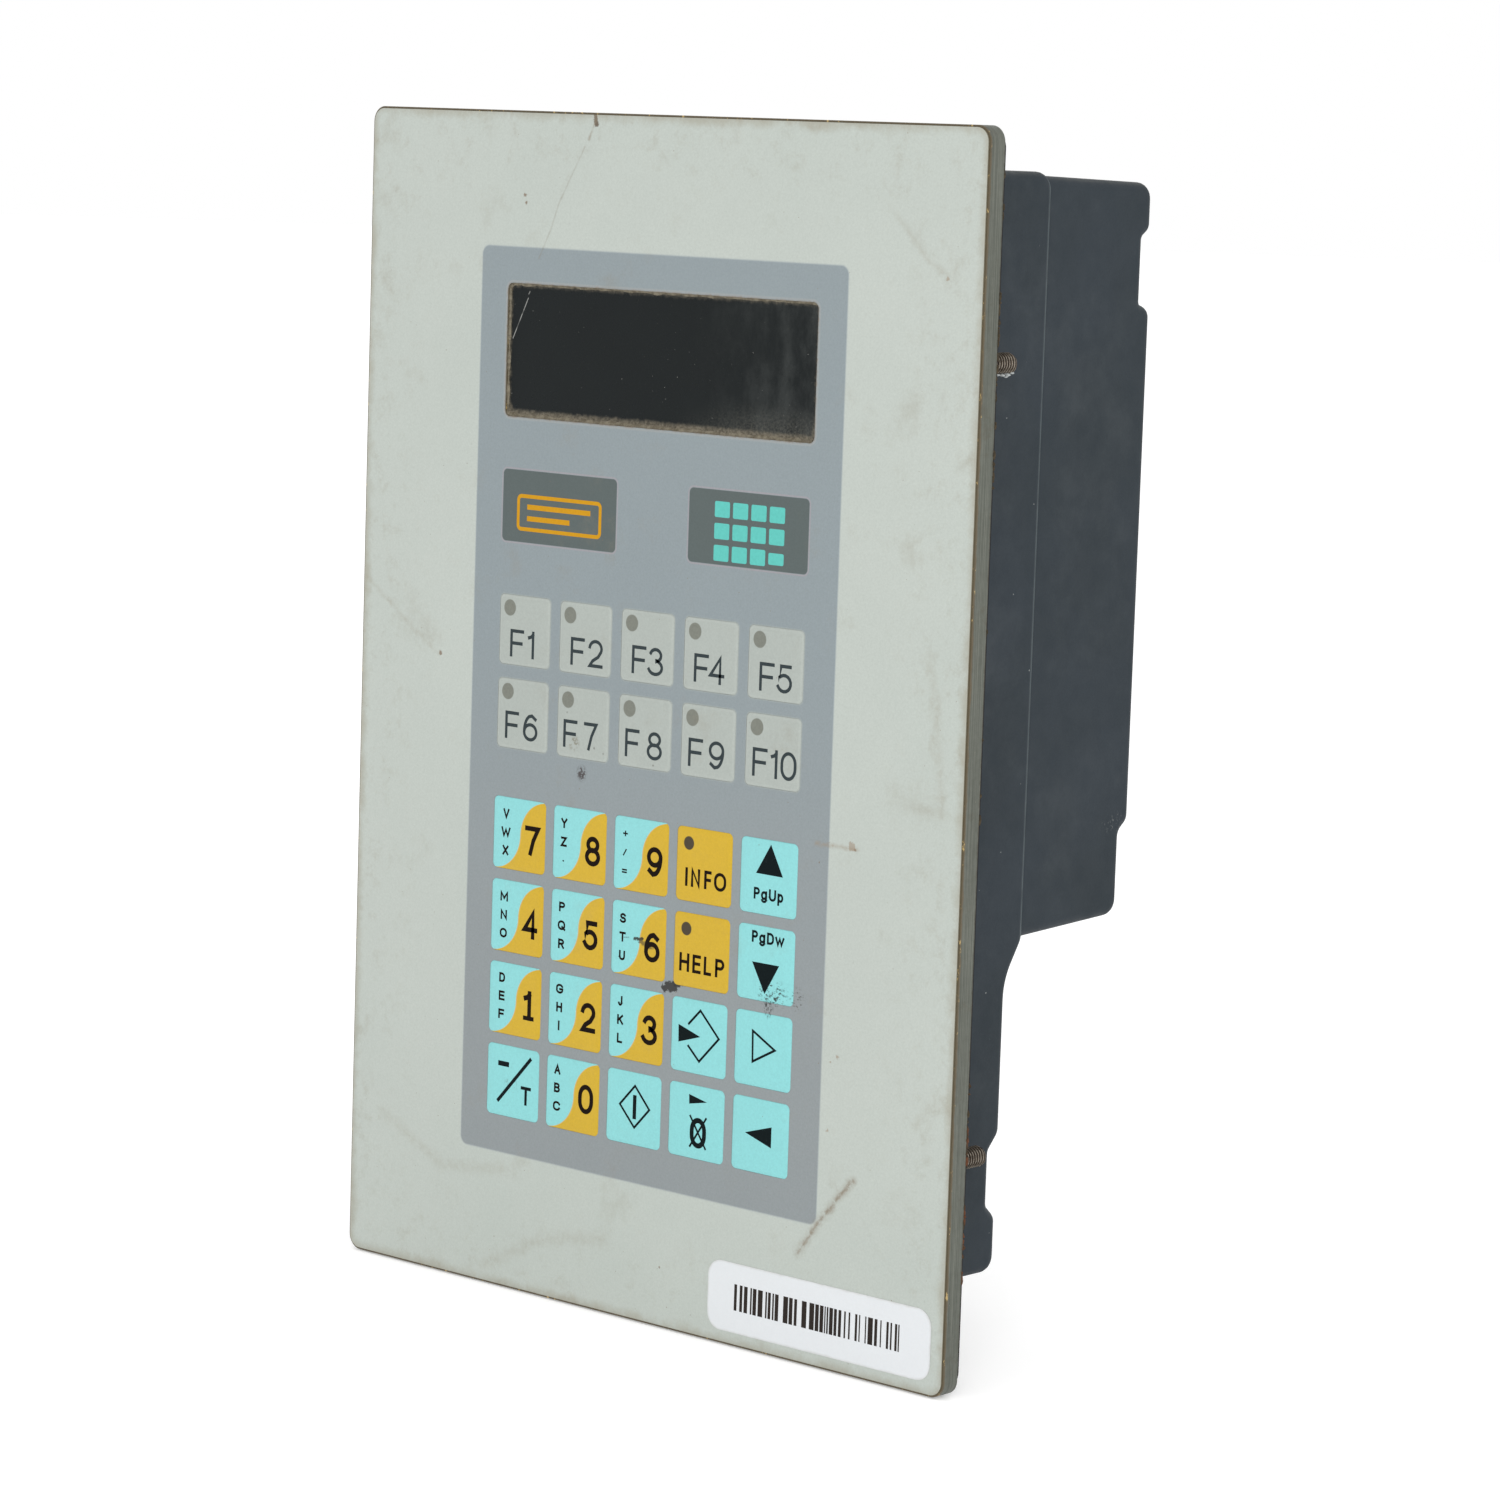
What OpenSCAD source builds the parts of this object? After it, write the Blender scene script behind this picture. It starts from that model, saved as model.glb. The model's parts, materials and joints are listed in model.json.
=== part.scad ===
// Operator panel for a machine: a membrane keypad and a character display on an
// aluminium front plate, with the electronics in a moulded housing behind it.
//
// Millimetres. The origin is the centre of the front plate's rear face, which is also the
// centre of the four mounting studs. +X is to the right as the operator sees it, +Y points
// into the machine, and +Z is up.

/* [Front plate] */
// Width of the front plate
plate_w = 158; // [156:0.5:162]
// Height of the front plate
plate_h = 231; // [230:0.5:236]
// Thickness of the aluminium plate
plate_t = 4; // [4:0.5:6]
// Radius of the plate's corners
plate_r = 3; // [2:0.5:5]
// Thickness of the printed overlay
overlay_t = 0.25; // [0.2:0.05:0.3]
// Margin from the plate's edge to the overlay's edge
overlay_inset = 0.4; // [0.2:0.1:0.8]

/* [Display] */
// Width of the display opening
win_w = 80.2; // [78:0.1:82]
// Height of the display opening
win_h = 25.8; // [25:0.1:27]
// Radius of the opening's corners
win_r = 1.3; // [1:0.1:2]
// Height of the opening's centre above the plate's centre
win_z = 69.5; // [68:0.1:71]
// Depth of the window pane below the overlay
win_recess = 0.65; // [0.5:0.05:1]

/* [Keypad] */
// Distance between key centres, the same both ways
key_pitch = 16.4; // [16.2:0.1:17]
// Size of a function key
f_key = 13.5; // [13:0.1:13.8]
// Size of a key in the number block
num_key = 14; // [13.5:0.1:14.2]
// Radius of a key's corners
key_r = 1; // [0.5:0.1:1.5]
// Sideways offset of the keypad from the plate's centre line
keypad_x = -0.3; // [-0.5:0.1:0.5]
// Height of the upper row of function keys
f_row_z = 15.15; // [14.5:0.05:15.5]
// Height of the top row of the number block
num_row_z = -24.9; // [-25.5:0.1:-24]
// Height of a key's embossed face above the overlay
emboss = 0.2; // [0.1:0.05:0.3]
// Gap between a key and the overlay around it
key_gap = 0.12; // [0.1:0.01:0.2]

/* [Studs and gasket] */
// Sideways distance between the mounting studs
stud_dx = 146; // [145:0.5:147]
// Vertical distance between the mounting studs
stud_dz = 146; // [140:0.5:150]
// Length of a stud behind the plate
stud_len = 11.3; // [10:0.1:14]
// Radius of an M4 stud
stud_r = 2;
// Thickness of the panel gasket
gasket_t = 1.5; // [1:0.1:2]

/* [Rear housing] */
// Half of the width of the housing's front tray
tray_x = 67.9; // [67.5:0.1:68]
// Step from the tray's side to the deep box's side
side_step = 1; // [0.8:0.1:1.5]
// Height of the tray's top edge
tray_top = 107.4; // [107:0.1:108]
// Height of the tray's bottom edge
tray_bottom = -97.9; // [-99:0.1:-97]
// Depth of the tray where the deep box stands on it
tray_y = 28.6; // [28:0.1:30]
// Depth of the deep box
box_y = 60.6; // [60:0.1:62]
// Radius of the tray's rear edges
tray_r = 3.5; // [2:0.5:4]
// Radius of the deep box's rear edges
box_r = 3; // [2:0.5:4]
// Thickness of the housing's walls
wall = 2.5; // [2:0.1:2.8]

/* [Hidden] */
$fn = 48;
eps = 0.02;

front_y = -plate_t - overlay_t;

// Layers of the keypad, in a pocket in the front of the plate
pocket_t = 1;
spacer_t = 0.7;
circuit_t = pocket_t - spacer_t;
circuit_y = -plate_t + spacer_t;
membrane_w = 85;
membrane_h = 109.5;
membrane_z = -29.75;
membrane_r = 2;
pocket_play = 0.3;
key_room = 0.6;
lamp_hole_r = 1.8;
tail_w = 20;
tail_z = -52;
tail_t = 0.3;

// Key names, row by row as the operator reads them
F_NAMES = [
    ["key_f1", "key_f2", "key_f3", "key_f4", "key_f5"],
    ["key_f6", "key_f7", "key_f8", "key_f9", "key_f10"]
];
NUM_NAMES = [
    ["key_7", "key_8", "key_9", "key_info", "key_page_up"],
    ["key_4", "key_5", "key_6", "key_help", "key_page_down"],
    ["key_1", "key_2", "key_3", "key_recall", "key_right"],
    ["key_sign", "key_0", "key_start", "key_clear", "key_left"]
];
lamp_column = 3;
lamp_rows = 2;

// Each key: its name, its centre, its size, its column and whether it has a lamp
KEYS = concat(
    [for (r = [0 : 1], c = [0 : 4])
        [F_NAMES[r][c], key_centre(c, r, f_row_z), f_key, -1, true]],
    [for (r = [0 : 3], c = [0 : 4])
        [NUM_NAMES[r][c], key_centre(c, r, num_row_z), num_key, c, c == lamp_column && r < lamp_rows]]
);
function key_centre(c, r, z) = [keypad_x + (c - 2) * key_pitch, z - r * key_pitch];

// A lamp shines through the top left corner of its key
f_lamp_in = 2.5;
num_lamp_in = 3;
function lamp_at(k) = let (d = k[2] / 2 - (k[3] < 0 ? f_lamp_in : num_lamp_in)) k[1] + [-d, d];

// Display module behind the window
pane_flange = 2.7;
pane_fit = 0.1;
pane_step_y = -2.6;
pane_back_y = -0.4;
bezel_size = [96.8, 39.3, 8];
bezel_y = 0.2;
bezel_wall = 0.5;
bezel_open = [77, 26.4];
glass_t = 2.2;
lcd_board_size = [98, 60, 1.6];
lcd_board_y = bezel_y + bezel_size[2];
lcd_holes = [46.5, 27.5];

// Boards on posts
board_t = 1.6;
led_board_y = 2.2;
led_board_w = 88;
led_board_z = [-46, 27];
led_holes = [[-41, 11], [41, 11], [-41, -42], [41, -42]];
main_y = 32;
main_w = 115.8;
main_z = [-29, 101];
main_holes = [[-53.5, -8], [53.5, -8], [-53.5, 97], [53.5, 97]];
post_r = 3;
m3_r = 1.5;

// Heights and depths of the steps in the housing's outline
box_bottom = -35.1;
box_top = 106.65;
top_box_y = box_y - 0.8;
low_box_y = 57.95;
low_tray_y = 23.95;
low_tray_z = -42.6;
end_tray_y = 23.7;
upper_band_y = 57.5;
upper_band_z = [82.7, 96.2];
lower_band_y = 21.1;
lower_band_z = [-86, -72.9];
box_step_z = -16.5;

// Housing screws, in the two recessed bands
screw_x = 61.2;
upper_screw_z = 90;
lower_screw_z = -79.3;
screw_head_r = 2.8;
screw_head_t = 2.4;
screw_shank = 10;
clear_r = 1.7;

// Connectors, side by side in the deep box's underside
field_z = -32.6;
field_y = [32, 48];
field_x = 56;
conn_y = 40;
vent_y = 51.2;
dsub_flange_t = 0.8;
dsub_out = 5.9;
dsub_body = 11;
serial_x = 19.5;
printer_x = -25;
serial_screws = 25;
printer_screws = 47.1;
serial_w = 16.3;
printer_w = 38.3;
terminal_x = 46;
terminal_size = [15.6, 11, 14];
terminal_out = 1.5;
terminal_pitch = 5.08;
jack_r = 2.75;
jack_out = 5;
jack_bore = 1.25;

// Asset label, low on the right of the front
label_size = [55.4, 13.5];
label_at = [48.2, -106.15];
label_r = 3.3;
label_t = 0.08;

// Chips on the main board: centre x and z, then width, height and thickness
CHIPS = [
    [-8, 52, 29, 29, 4], [28, 62, 15, 37, 3.8], [28, 22, 15, 37, 3.8],
    [-34, 24, 10, 25, 3.5], [-16, 18, 10, 25, 3.5], [3, 8, 7.5, 18, 2.5]
];

SHEETS = [
    "front_overlay", "front_plate", "asset_label", "mounting_studs", "panel_gasket",
    "membrane_spacer", "membrane_circuit", "snap_domes", "keypad_ribbon"
];
DISPLAY = [
    "display_window", "lcd_bezel", "lcd_glass", "lcd_backlight", "lcd_board", "display_ribbon"
];
ELECTRONICS = [
    "led_board", "led_lamps", "main_board", "logic_chips", "backup_battery", "power_fuse",
    "serial_connector", "printer_connector", "power_terminal", "terminal_screws", "jack_screws"
];
REAR = ["support_posts", "board_screws", "rear_housing", "housing_screws"];

// Colours
plate_grey = [0.78, 0.81, 0.775];
face_grey = [0.60, 0.64, 0.66];
key_grey = [0.72, 0.74, 0.73];
aqua = [0.57, 0.85, 0.85];
amber = [0.84, 0.71, 0.22];
aluminium = [0.50, 0.51, 0.47];
steel = [0.55, 0.52, 0.48];
housing_grey = [0.24, 0.27, 0.29];
board_green = [0.13, 0.35, 0.20];
chip_black = [0.08, 0.08, 0.09];

// ---- Shared shapes ----

// Rounded rectangle centred on the origin
module rounded_rect(w, h, r) {
    square([w - 2 * r, h], center = true);
    square([w, h - 2 * r], center = true);
    for (sx = [-1, 1], sy = [-1, 1])
        translate([sx * (w / 2 - r), sy * (h / 2 - r)]) circle(r);
}

// Sheet standing upright from depth y to y + t, from an outline drawn in X and Z
module sheet(y, t) {
    translate([0, y + t, 0]) rotate([90, 0, 0]) linear_extrude(t) children();
}

// Rod from depth y to y + len, at a point [x, z]
module rod(at, y, len, r) {
    translate([at[0], y + len, at[1]]) rotate([90, 0, 0]) cylinder(h = len, r = r);
}

// Block between two values of x, y and z
module block(x, y, z) {
    translate([x[0], y[0], z[0]]) cube([x[1] - x[0], y[1] - y[0], z[1] - z[0]]);
}

// Bar of half width hw along X, from an outline drawn in Y and Z
module across(hw) {
    rotate([90, 0, 90]) linear_extrude(2 * hw, center = true) children();
}

// Points of a closed outline whose corners [x, y, r] are rounded to radius r
function rounded(c, steps = 8) = [
    for (i = [0 : len(c) - 1])
        let (p = corner(c, i), u = unit(corner(c, i - 1) - p), v = unit(corner(c, i + 1) - p))
        each c[i][2] == 0 ? [p] : arc(p, u, v, c[i][2], acos(u * v) / 2, steps)
];
function corner(c, i) = let (p = c[(i + len(c)) % len(c)]) [p[0], p[1]];
function unit(v) = v / norm(v);
function arc(p, u, v, r, half, steps) =
    let (mid = p + unit(u + v) * r / sin(half), a = p + u * r / tan(half) - mid,
         b = p + v * r / tan(half) - mid, sweep = 180 - 2 * half)
    [for (k = [0 : steps])
        mid + (a * sin(sweep * (1 - k / steps)) + b * sin(sweep * k / steps)) / sin(sweep)];

// ---- Front ----

module front_overlay() {
    color(plate_grey) sheet(front_y, overlay_t) difference() {
        rounded_rect(plate_w - 2 * overlay_inset, plate_h - 2 * overlay_inset, plate_r - overlay_inset);
        translate([0, win_z]) rounded_rect(win_w, win_h, win_r);
        for (k = KEYS)
            translate(k[1]) rounded_rect(k[2] + 2 * key_gap, k[2] + 2 * key_gap, key_r + key_gap);
    }
}

module front_plate() {
    color(aluminium) difference() {
        sheet(-plate_t, plate_t) difference() {
            rounded_rect(plate_w, plate_h, plate_r);
            translate([0, win_z]) rounded_rect(win_w, win_h, win_r);
        }
        sheet(pane_step_y, -pane_step_y + eps) translate([0, win_z]) rounded_rect(
            win_w + 2 * pane_flange + 2 * pane_fit, win_h + 2 * pane_flange + 2 * pane_fit, win_r + pane_flange);
        sheet(-plate_t - eps, pocket_t + eps) translate([keypad_x, membrane_z])
            rounded_rect(membrane_w + pocket_play, membrane_h + pocket_play, membrane_r);
        for (k = KEYS) if (k[4]) rod(lamp_at(k), -plate_t, plate_t + eps, lamp_hole_r);
        block([keypad_x - tail_w / 2 - 1, keypad_x + tail_w / 2 + 1], [-plate_t, eps], [tail_z - 1.5, tail_z + 1.5]);
    }
}

module key(k) {
    tint = k[3] < 0 ? key_grey : k[4] ? amber : aqua;
    color(tint) translate([k[1][0], 0, k[1][1]])
        sheet(front_y - emboss, emboss + overlay_t) rounded_rect(k[2], k[2], key_r);
}

module asset_label() {
    color("white") sheet(front_y - label_t, label_t)
        translate(label_at) rounded_rect(label_size[0], label_size[1], label_r);
}

module mounting_studs() {
    color(steel) for (sx = [-1, 1], sz = [-1, 1])
        rod([sx * stud_dx / 2, sz * stud_dz / 2], 0, stud_len, stud_r);
}

module panel_gasket() {
    margin = 1;
    relief_r = 3.2;
    play = 0.7;
    color(chip_black) sheet(0, gasket_t) difference() {
        rounded_rect(plate_w - 2 * margin, plate_h - 2 * margin, plate_r);
        translate([0, (tray_top + tray_bottom) / 2])
            square([2 * (tray_x + play), tray_top - tray_bottom + 2 * play], center = true);
        for (sx = [-1, 1], sz = [-1, 1])
            translate([sx * stud_dx / 2, sz * stud_dz / 2]) circle(relief_r);
    }
}

// ---- Keypad layers ----

module membrane_spacer() {
    color(plate_grey) sheet(-plate_t, spacer_t) difference() {
        translate([keypad_x, membrane_z]) rounded_rect(membrane_w, membrane_h, membrane_r);
        for (k = KEYS) translate(k[1]) square(k[2] + key_room, center = true);
    }
}

module membrane_circuit() {
    color([0.75, 0.72, 0.62]) sheet(circuit_y, circuit_t) difference() {
        translate([keypad_x, membrane_z]) rounded_rect(membrane_w, membrane_h, membrane_r);
        for (k = KEYS) if (k[4]) translate(lamp_at(k)) circle(lamp_hole_r);
    }
}

// A snap dome: a thin steel dish that stands on the circuit on its rim
module snap_domes() {
    rim_r = 4.5;
    crown_r = 1.5;
    rise = 0.5;
    metal = 0.1;
    shift = [0.5, -0.5];
    color(steel) for (k = KEYS)
        translate([k[1][0] + shift[0], circuit_y, k[1][1] + shift[1]]) rotate([90, 0, 0])
            rotate_extrude() polygon([
                [0, rise - metal], [crown_r, rise - metal], [rim_r - metal, 0],
                [rim_r, 0], [crown_r, rise], [0, rise]
            ]);
}

// Flat tail of the membrane: through its slot in the plate, then up to the lamp board
module keypad_ribbon() {
    back_y = 6.6;
    top_z = -36;
    color([0.80, 0.62, 0.30]) translate([keypad_x, 0, 0]) {
        across(tail_w / 2) polygon([
            [-plate_t + pocket_t, tail_z - tail_t], [back_y, tail_z - tail_t], [back_y, top_z],
            [back_y - tail_t, top_z], [back_y - tail_t, tail_z], [-plate_t + pocket_t, tail_z]
        ]);
        block([-tail_w / 2 - 2, tail_w / 2 + 2], [led_board_y + board_t, back_y - tail_t], [top_z - 5, top_z]);
    }
}

// ---- Display ----

module display_window() {
    color([0.06, 0.07, 0.08]) translate([0, 0, win_z]) {
        sheet(front_y + win_recess, pane_step_y - front_y - win_recess + eps)
            rounded_rect(win_w - 2 * pane_fit, win_h - 2 * pane_fit, win_r);
        sheet(pane_step_y, pane_back_y - pane_step_y)
            rounded_rect(win_w + 2 * pane_flange, win_h + 2 * pane_flange, win_r + pane_flange);
    }
}

module lcd_bezel() {
    color("silver") translate([0, 0, win_z]) difference() {
        sheet(bezel_y, bezel_size[2]) square([bezel_size[0], bezel_size[1]], center = true);
        sheet(bezel_y + bezel_wall, bezel_size[2]) square(
            [bezel_size[0] - 2 * bezel_wall, bezel_size[1] - 2 * bezel_wall], center = true);
        sheet(bezel_y - eps, bezel_wall + 2 * eps) square(bezel_open, center = true);
    }
}

module lcd_glass() {
    color([0.55, 0.62, 0.45]) translate([0, 0, win_z])
        sheet(bezel_y + bezel_wall, glass_t) square([92, 36], center = true);
}

module lcd_backlight() {
    y = bezel_y + bezel_wall + glass_t;
    color("white") translate([0, 0, win_z]) sheet(y, lcd_board_y - y) square([92, 36], center = true);
}

module lcd_board() {
    color(board_green) translate([0, 0, win_z]) sheet(lcd_board_y, board_t) difference() {
        square([lcd_board_size[0], lcd_board_size[1]], center = true);
        for (sx = [-1, 1], sz = [-1, 1])
            translate([sx * lcd_holes[0], sz * lcd_holes[1]]) circle(clear_r);
    }
}

// Flat cable from a socket on the display board to a socket on the main board
module display_ribbon() {
    cable_w = 20;
    cable_t = 0.9;
    socket = [24, 5, 5];
    z = 44;
    y1 = lcd_board_y + board_t;
    translate([-20, 0, 0]) {
        color(chip_black) for (y = [y1, main_y - socket[1]])
            block([-socket[0] / 2, socket[0] / 2], [y, y + socket[1]], [z, z + socket[2]]);
        color("gray") across(cable_w / 2) polygon([
            [y1 + socket[1], z + 2], [main_y - socket[1], z + 2],
            [main_y - socket[1], z + 2 + cable_t], [y1 + socket[1], z + 2 + cable_t]
        ]);
    }
}

// ---- Electronics ----

module led_board() {
    color(board_green) sheet(led_board_y, board_t) difference() {
        translate([0, (led_board_z[0] + led_board_z[1]) / 2])
            square([led_board_w, led_board_z[1] - led_board_z[0]], center = true);
        for (p = led_holes) translate(p) circle(clear_r);
    }
}

// Lamps that stand on the lamp board, each with its lens in a hole of the plate
module led_lamps() {
    lens_r = 1.5;
    flange_r = 1.7;
    flange_t = 1;
    tip_y = -plate_t + pocket_t + 0.1;
    color([0.55, 0.50, 0.42]) for (k = KEYS) if (k[4]) {
        rod(lamp_at(k), tip_y + lens_r, led_board_y - tip_y - lens_r, lens_r);
        rod(lamp_at(k), led_board_y - flange_t, flange_t, flange_r);
        translate([lamp_at(k)[0], tip_y + lens_r, lamp_at(k)[1]]) sphere(lens_r);
    }
}

module main_board() {
    color(board_green) sheet(main_y, board_t) difference() {
        translate([0, (main_z[0] + main_z[1]) / 2])
            square([main_w, main_z[1] - main_z[0]], center = true);
        for (p = main_holes) translate(p) circle(clear_r);
    }
}

module logic_chips() {
    y = main_y + board_t;
    color(chip_black) for (c = CHIPS)
        block([c[0] - c[2] / 2, c[0] + c[2] / 2], [y, y + c[4]], [c[1] - c[3] / 2, c[1] + c[3] / 2]);
}

module backup_battery() {
    cell_r = 10;
    cell_t = 3.2;
    seat_t = 1.8;
    at = [-40, 78];
    y = main_y + board_t;
    color("silver") {
        rod(at, y, seat_t, cell_r + 1.2);
        rod(at, y + seat_t - eps, cell_t, cell_r);
    }
}

module power_fuse() {
    at = [46, -4];
    tube_r = 2.6;
    tube_len = 20;
    clip = [6.4, 3, 4];
    y = main_y + board_t;
    color("lightgray") {
        translate([at[0], y + clip[1] + 0.6, at[1]]) cylinder(h = tube_len, r = tube_r);
        for (z = [at[1] + 1, at[1] + tube_len - 1 - clip[2]])
            block([at[0] - clip[0] / 2, at[0] + clip[0] / 2], [y, y + clip[1]], [z, z + clip[2]]);
    }
}

// D-shaped face of a connector, wider on the side towards the plate
function d_outline(w, h) = rounded([
    [-w / 2, -h / 2, 2], [w / 2, -h / 2, 2], [w / 2 - 1.4, h / 2, 2], [1.4 - w / 2, h / 2, 2]
], 4);

// A socket connector that looks down through the housing's underside
module dsub(x, screws, w, contacts) {
    flange = [screws + 5.8, 12.5];
    face_h = 7.9;
    lip = 0.5;
    pitch = 2.76;
    row_gap = 2.84;
    top_z = field_z + wall;
    translate([x, conn_y, 0]) difference() {
        union() {
            translate([0, 0, top_z]) linear_extrude(dsub_flange_t)
                rounded_rect(flange[0], flange[1], 1.2);
            translate([0, 0, top_z - dsub_out]) linear_extrude(dsub_out + eps) polygon(d_outline(w, face_h));
            translate([-w / 2 - 1, -6.2, top_z + dsub_flange_t - eps]) cube([w + 2, 12, dsub_body]);
        }
        translate([0, 0, top_z - dsub_out - eps]) linear_extrude(lip)
            polygon(d_outline(w - 2 * lip, face_h - 2 * lip));
        for (row = [0, 1], i = [0 : contacts - 1 - row])
            translate([(i - (contacts - 1 - row) / 2) * pitch, (row - 0.5) * row_gap, top_z - dsub_out])
                cylinder(h = dsub_out, r = 0.55);
        for (sx = [-1, 1])
            translate([sx * screws / 2, 0, top_z - eps]) cylinder(h = dsub_flange_t + 2 * eps, r = clear_r);
    }
}

module serial_connector() {
    color("silver") dsub(serial_x, serial_screws, serial_w, 5);
}

module printer_connector() {
    color("silver") dsub(printer_x, printer_screws, printer_w, 13);
}

// Hollow hexagonal screws that hold the connectors and take the plugs' own screws
module jack_screws() {
    shank_r = 1.5;
    nut_t = 2;
    color(steel) for (c = [[serial_x, serial_screws], [printer_x, printer_screws]], sx = [-1, 1])
        translate([c[0] + sx * c[1] / 2, conn_y, 0]) difference() {
            union() {
                translate([0, 0, field_z - jack_out]) cylinder(h = jack_out, r = jack_r, $fn = 6);
                translate([0, 0, field_z - eps]) cylinder(h = wall + dsub_flange_t + nut_t, r = shank_r);
                translate([0, 0, field_z + wall + dsub_flange_t]) cylinder(h = nut_t, r = jack_r, $fn = 6);
            }
            translate([0, 0, field_z - jack_out - eps]) cylinder(h = jack_out, r = jack_bore);
        }
}

module power_terminal() {
    wire_r = 1.4;
    wire_depth = 8;
    top_z = field_z - terminal_out;
    color([0.16, 0.40, 0.22]) difference() {
        block([terminal_x - terminal_size[0] / 2, terminal_x + terminal_size[0] / 2],
              [main_y + board_t, main_y + board_t + terminal_size[1]], [top_z, top_z + terminal_size[2]]);
        for (i = [-1 : 1]) translate([terminal_x + i * terminal_pitch, 0, top_z - eps]) {
            translate([0, main_y + board_t + 3, 0]) cylinder(h = wire_depth, r = wire_r);
            translate([0, main_y + board_t + 7.7, 0]) cylinder(h = 1.5, r = 2);
        }
    }
}

module terminal_screws() {
    slot = [3.2, 0.6, 0.5];
    z = field_z - terminal_out + 0.3;
    color(steel) for (i = [-1 : 1])
        translate([terminal_x + i * terminal_pitch, main_y + board_t + 7.7, z]) difference() {
            cylinder(h = 1.18, r = 1.8);
            translate([-slot[0], -slot[1] / 2, -eps]) cube([2 * slot[0], slot[1], slot[2]]);
        }
}

// ---- Rear ----

// Hexagonal posts: length and position of each group
module post(at, len, bore) {
    difference() {
        translate([at[0], len, at[1]]) rotate([90, 0, 0]) cylinder(h = len, r = post_r, $fn = 6);
        rod(at, len - bore, bore + eps, m3_r);
    }
}

module support_posts() {
    color("silver") {
        for (p = led_holes) post(p, led_board_y, 2);
        for (sx = [-1, 1], sz = [-1, 1])
            post([sx * lcd_holes[0], win_z + sz * lcd_holes[1]], lcd_board_y, 6);
        for (p = main_holes) post(p, main_y, 8);
        for (sx = [-1, 1]) {
            post([sx * screw_x, upper_screw_z], upper_band_y - wall, screw_shank);
            post([sx * screw_x, lower_screw_z], lower_band_y - wall, screw_shank);
        }
    }
}

// A pan head screw with a cross recess, its head on the surface at depth y
module screw(at, y, shank) {
    cross = [3, 0.7, 0.9];
    difference() {
        union() {
            rod(at, y, screw_head_t, screw_head_r);
            rod(at, y - shank, shank + eps, m3_r - eps);
        }
        for (turn = [0, 90]) translate([at[0], y + screw_head_t, at[1]]) rotate([0, turn, 0])
            cube([cross[0], 2 * cross[2], cross[1]], center = true);
    }
}

module board_screws() {
    color(steel) {
        for (p = led_holes) screw(p, led_board_y + board_t, 3);
        for (sx = [-1, 1], sz = [-1, 1])
            screw([sx * lcd_holes[0], win_z + sz * lcd_holes[1]], lcd_board_y + board_t, 6);
        for (p = main_holes) screw(p, main_y + board_t, 7);
    }
}

module housing_screws() {
    color(steel) for (sx = [-1, 1]) {
        screw([sx * screw_x, upper_screw_z], upper_band_y, 9);
        screw([sx * screw_x, lower_screw_z], lower_band_y, 9);
    }
}

// Side outlines in Y and Z, each corner with its radius
tray_side = [
    [0, tray_top, 0], [tray_y, tray_top, tray_r], [tray_y, box_bottom, 0], [low_tray_y, low_tray_z, 0],
    [low_tray_y, -71.4, 1.2], [lower_band_y, -74.6, 1.2], [lower_band_y, -84.8, 1],
    [end_tray_y, -87.2, 1.5], [end_tray_y, tray_bottom, 3], [0, tray_bottom, 0]
];
box_side = [
    [tray_y - 10, box_top, 0], [tray_y, box_top, 0], [top_box_y, box_top - 0.9, box_r], [top_box_y, 97, 2],
    [upper_band_y, 95.4, 0.8], [upper_band_y, 83.2, 0.6], [box_y, 82.2, 1], [box_y, -15.4, 1.5],
    [low_box_y, -17.6, 1], [low_box_y, -33.4, 3], [tray_y, box_bottom, 0], [tray_y - 10, box_bottom, 0]
];

// Plan outline of a block whose rear corners are rounded
module plan(hw, rear, r) {
    depth = 80;
    translate([0, rear - depth / 2 - r]) square([2 * hw, depth], center = true);
    translate([0, rear - r - eps]) square([2 * (hw - r), 2 * (r + eps)], center = true);
    for (sx = [-1, 1]) translate([sx * (hw - r), rear - r]) circle(r);
}

// Keeps what lies between two heights and inside the plan outline
module rounded_plan(hw, rear, r, z) {
    intersection() {
        children();
        translate([0, 0, z[0]]) linear_extrude(z[1] - z[0]) plan(hw, rear, r);
    }
}

module housing_outside() {
    box_x = tray_x - side_step;
    slope_slices = 4;
    slope_h = (box_bottom - low_tray_z) / slope_slices;
    slope_d = (tray_y - low_tray_y) / slope_slices;
    for (s = [[box_bottom, tray_top + 1, tray_y], [lower_band_z[1], low_tray_z, low_tray_y],
              [lower_band_z[0], lower_band_z[1], lower_band_y], [tray_bottom - 1, lower_band_z[0], end_tray_y]])
        rounded_plan(tray_x, s[2], tray_r, [s[0], s[1]]) across(tray_x) polygon(rounded(tray_side));
    // The slope under the deep box, in slices, so that its corners stay rounded
    for (i = [0 : slope_slices - 1]) {
        z = box_bottom - i * slope_h;
        rounded_plan(tray_x, tray_y - i * slope_d, tray_r, [z - slope_h, z])
            across(tray_x) polygon(rounded(tray_side));
    }
    for (s = [[upper_band_z[1], tray_top + 1, top_box_y], [upper_band_z[0], upper_band_z[1], upper_band_y],
              [box_step_z, upper_band_z[0], box_y], [box_bottom - 1, box_step_z, low_box_y]])
        rounded_plan(box_x, s[2], box_r, [s[0], s[1]]) across(box_x) polygon(rounded(box_side));
}

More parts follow.
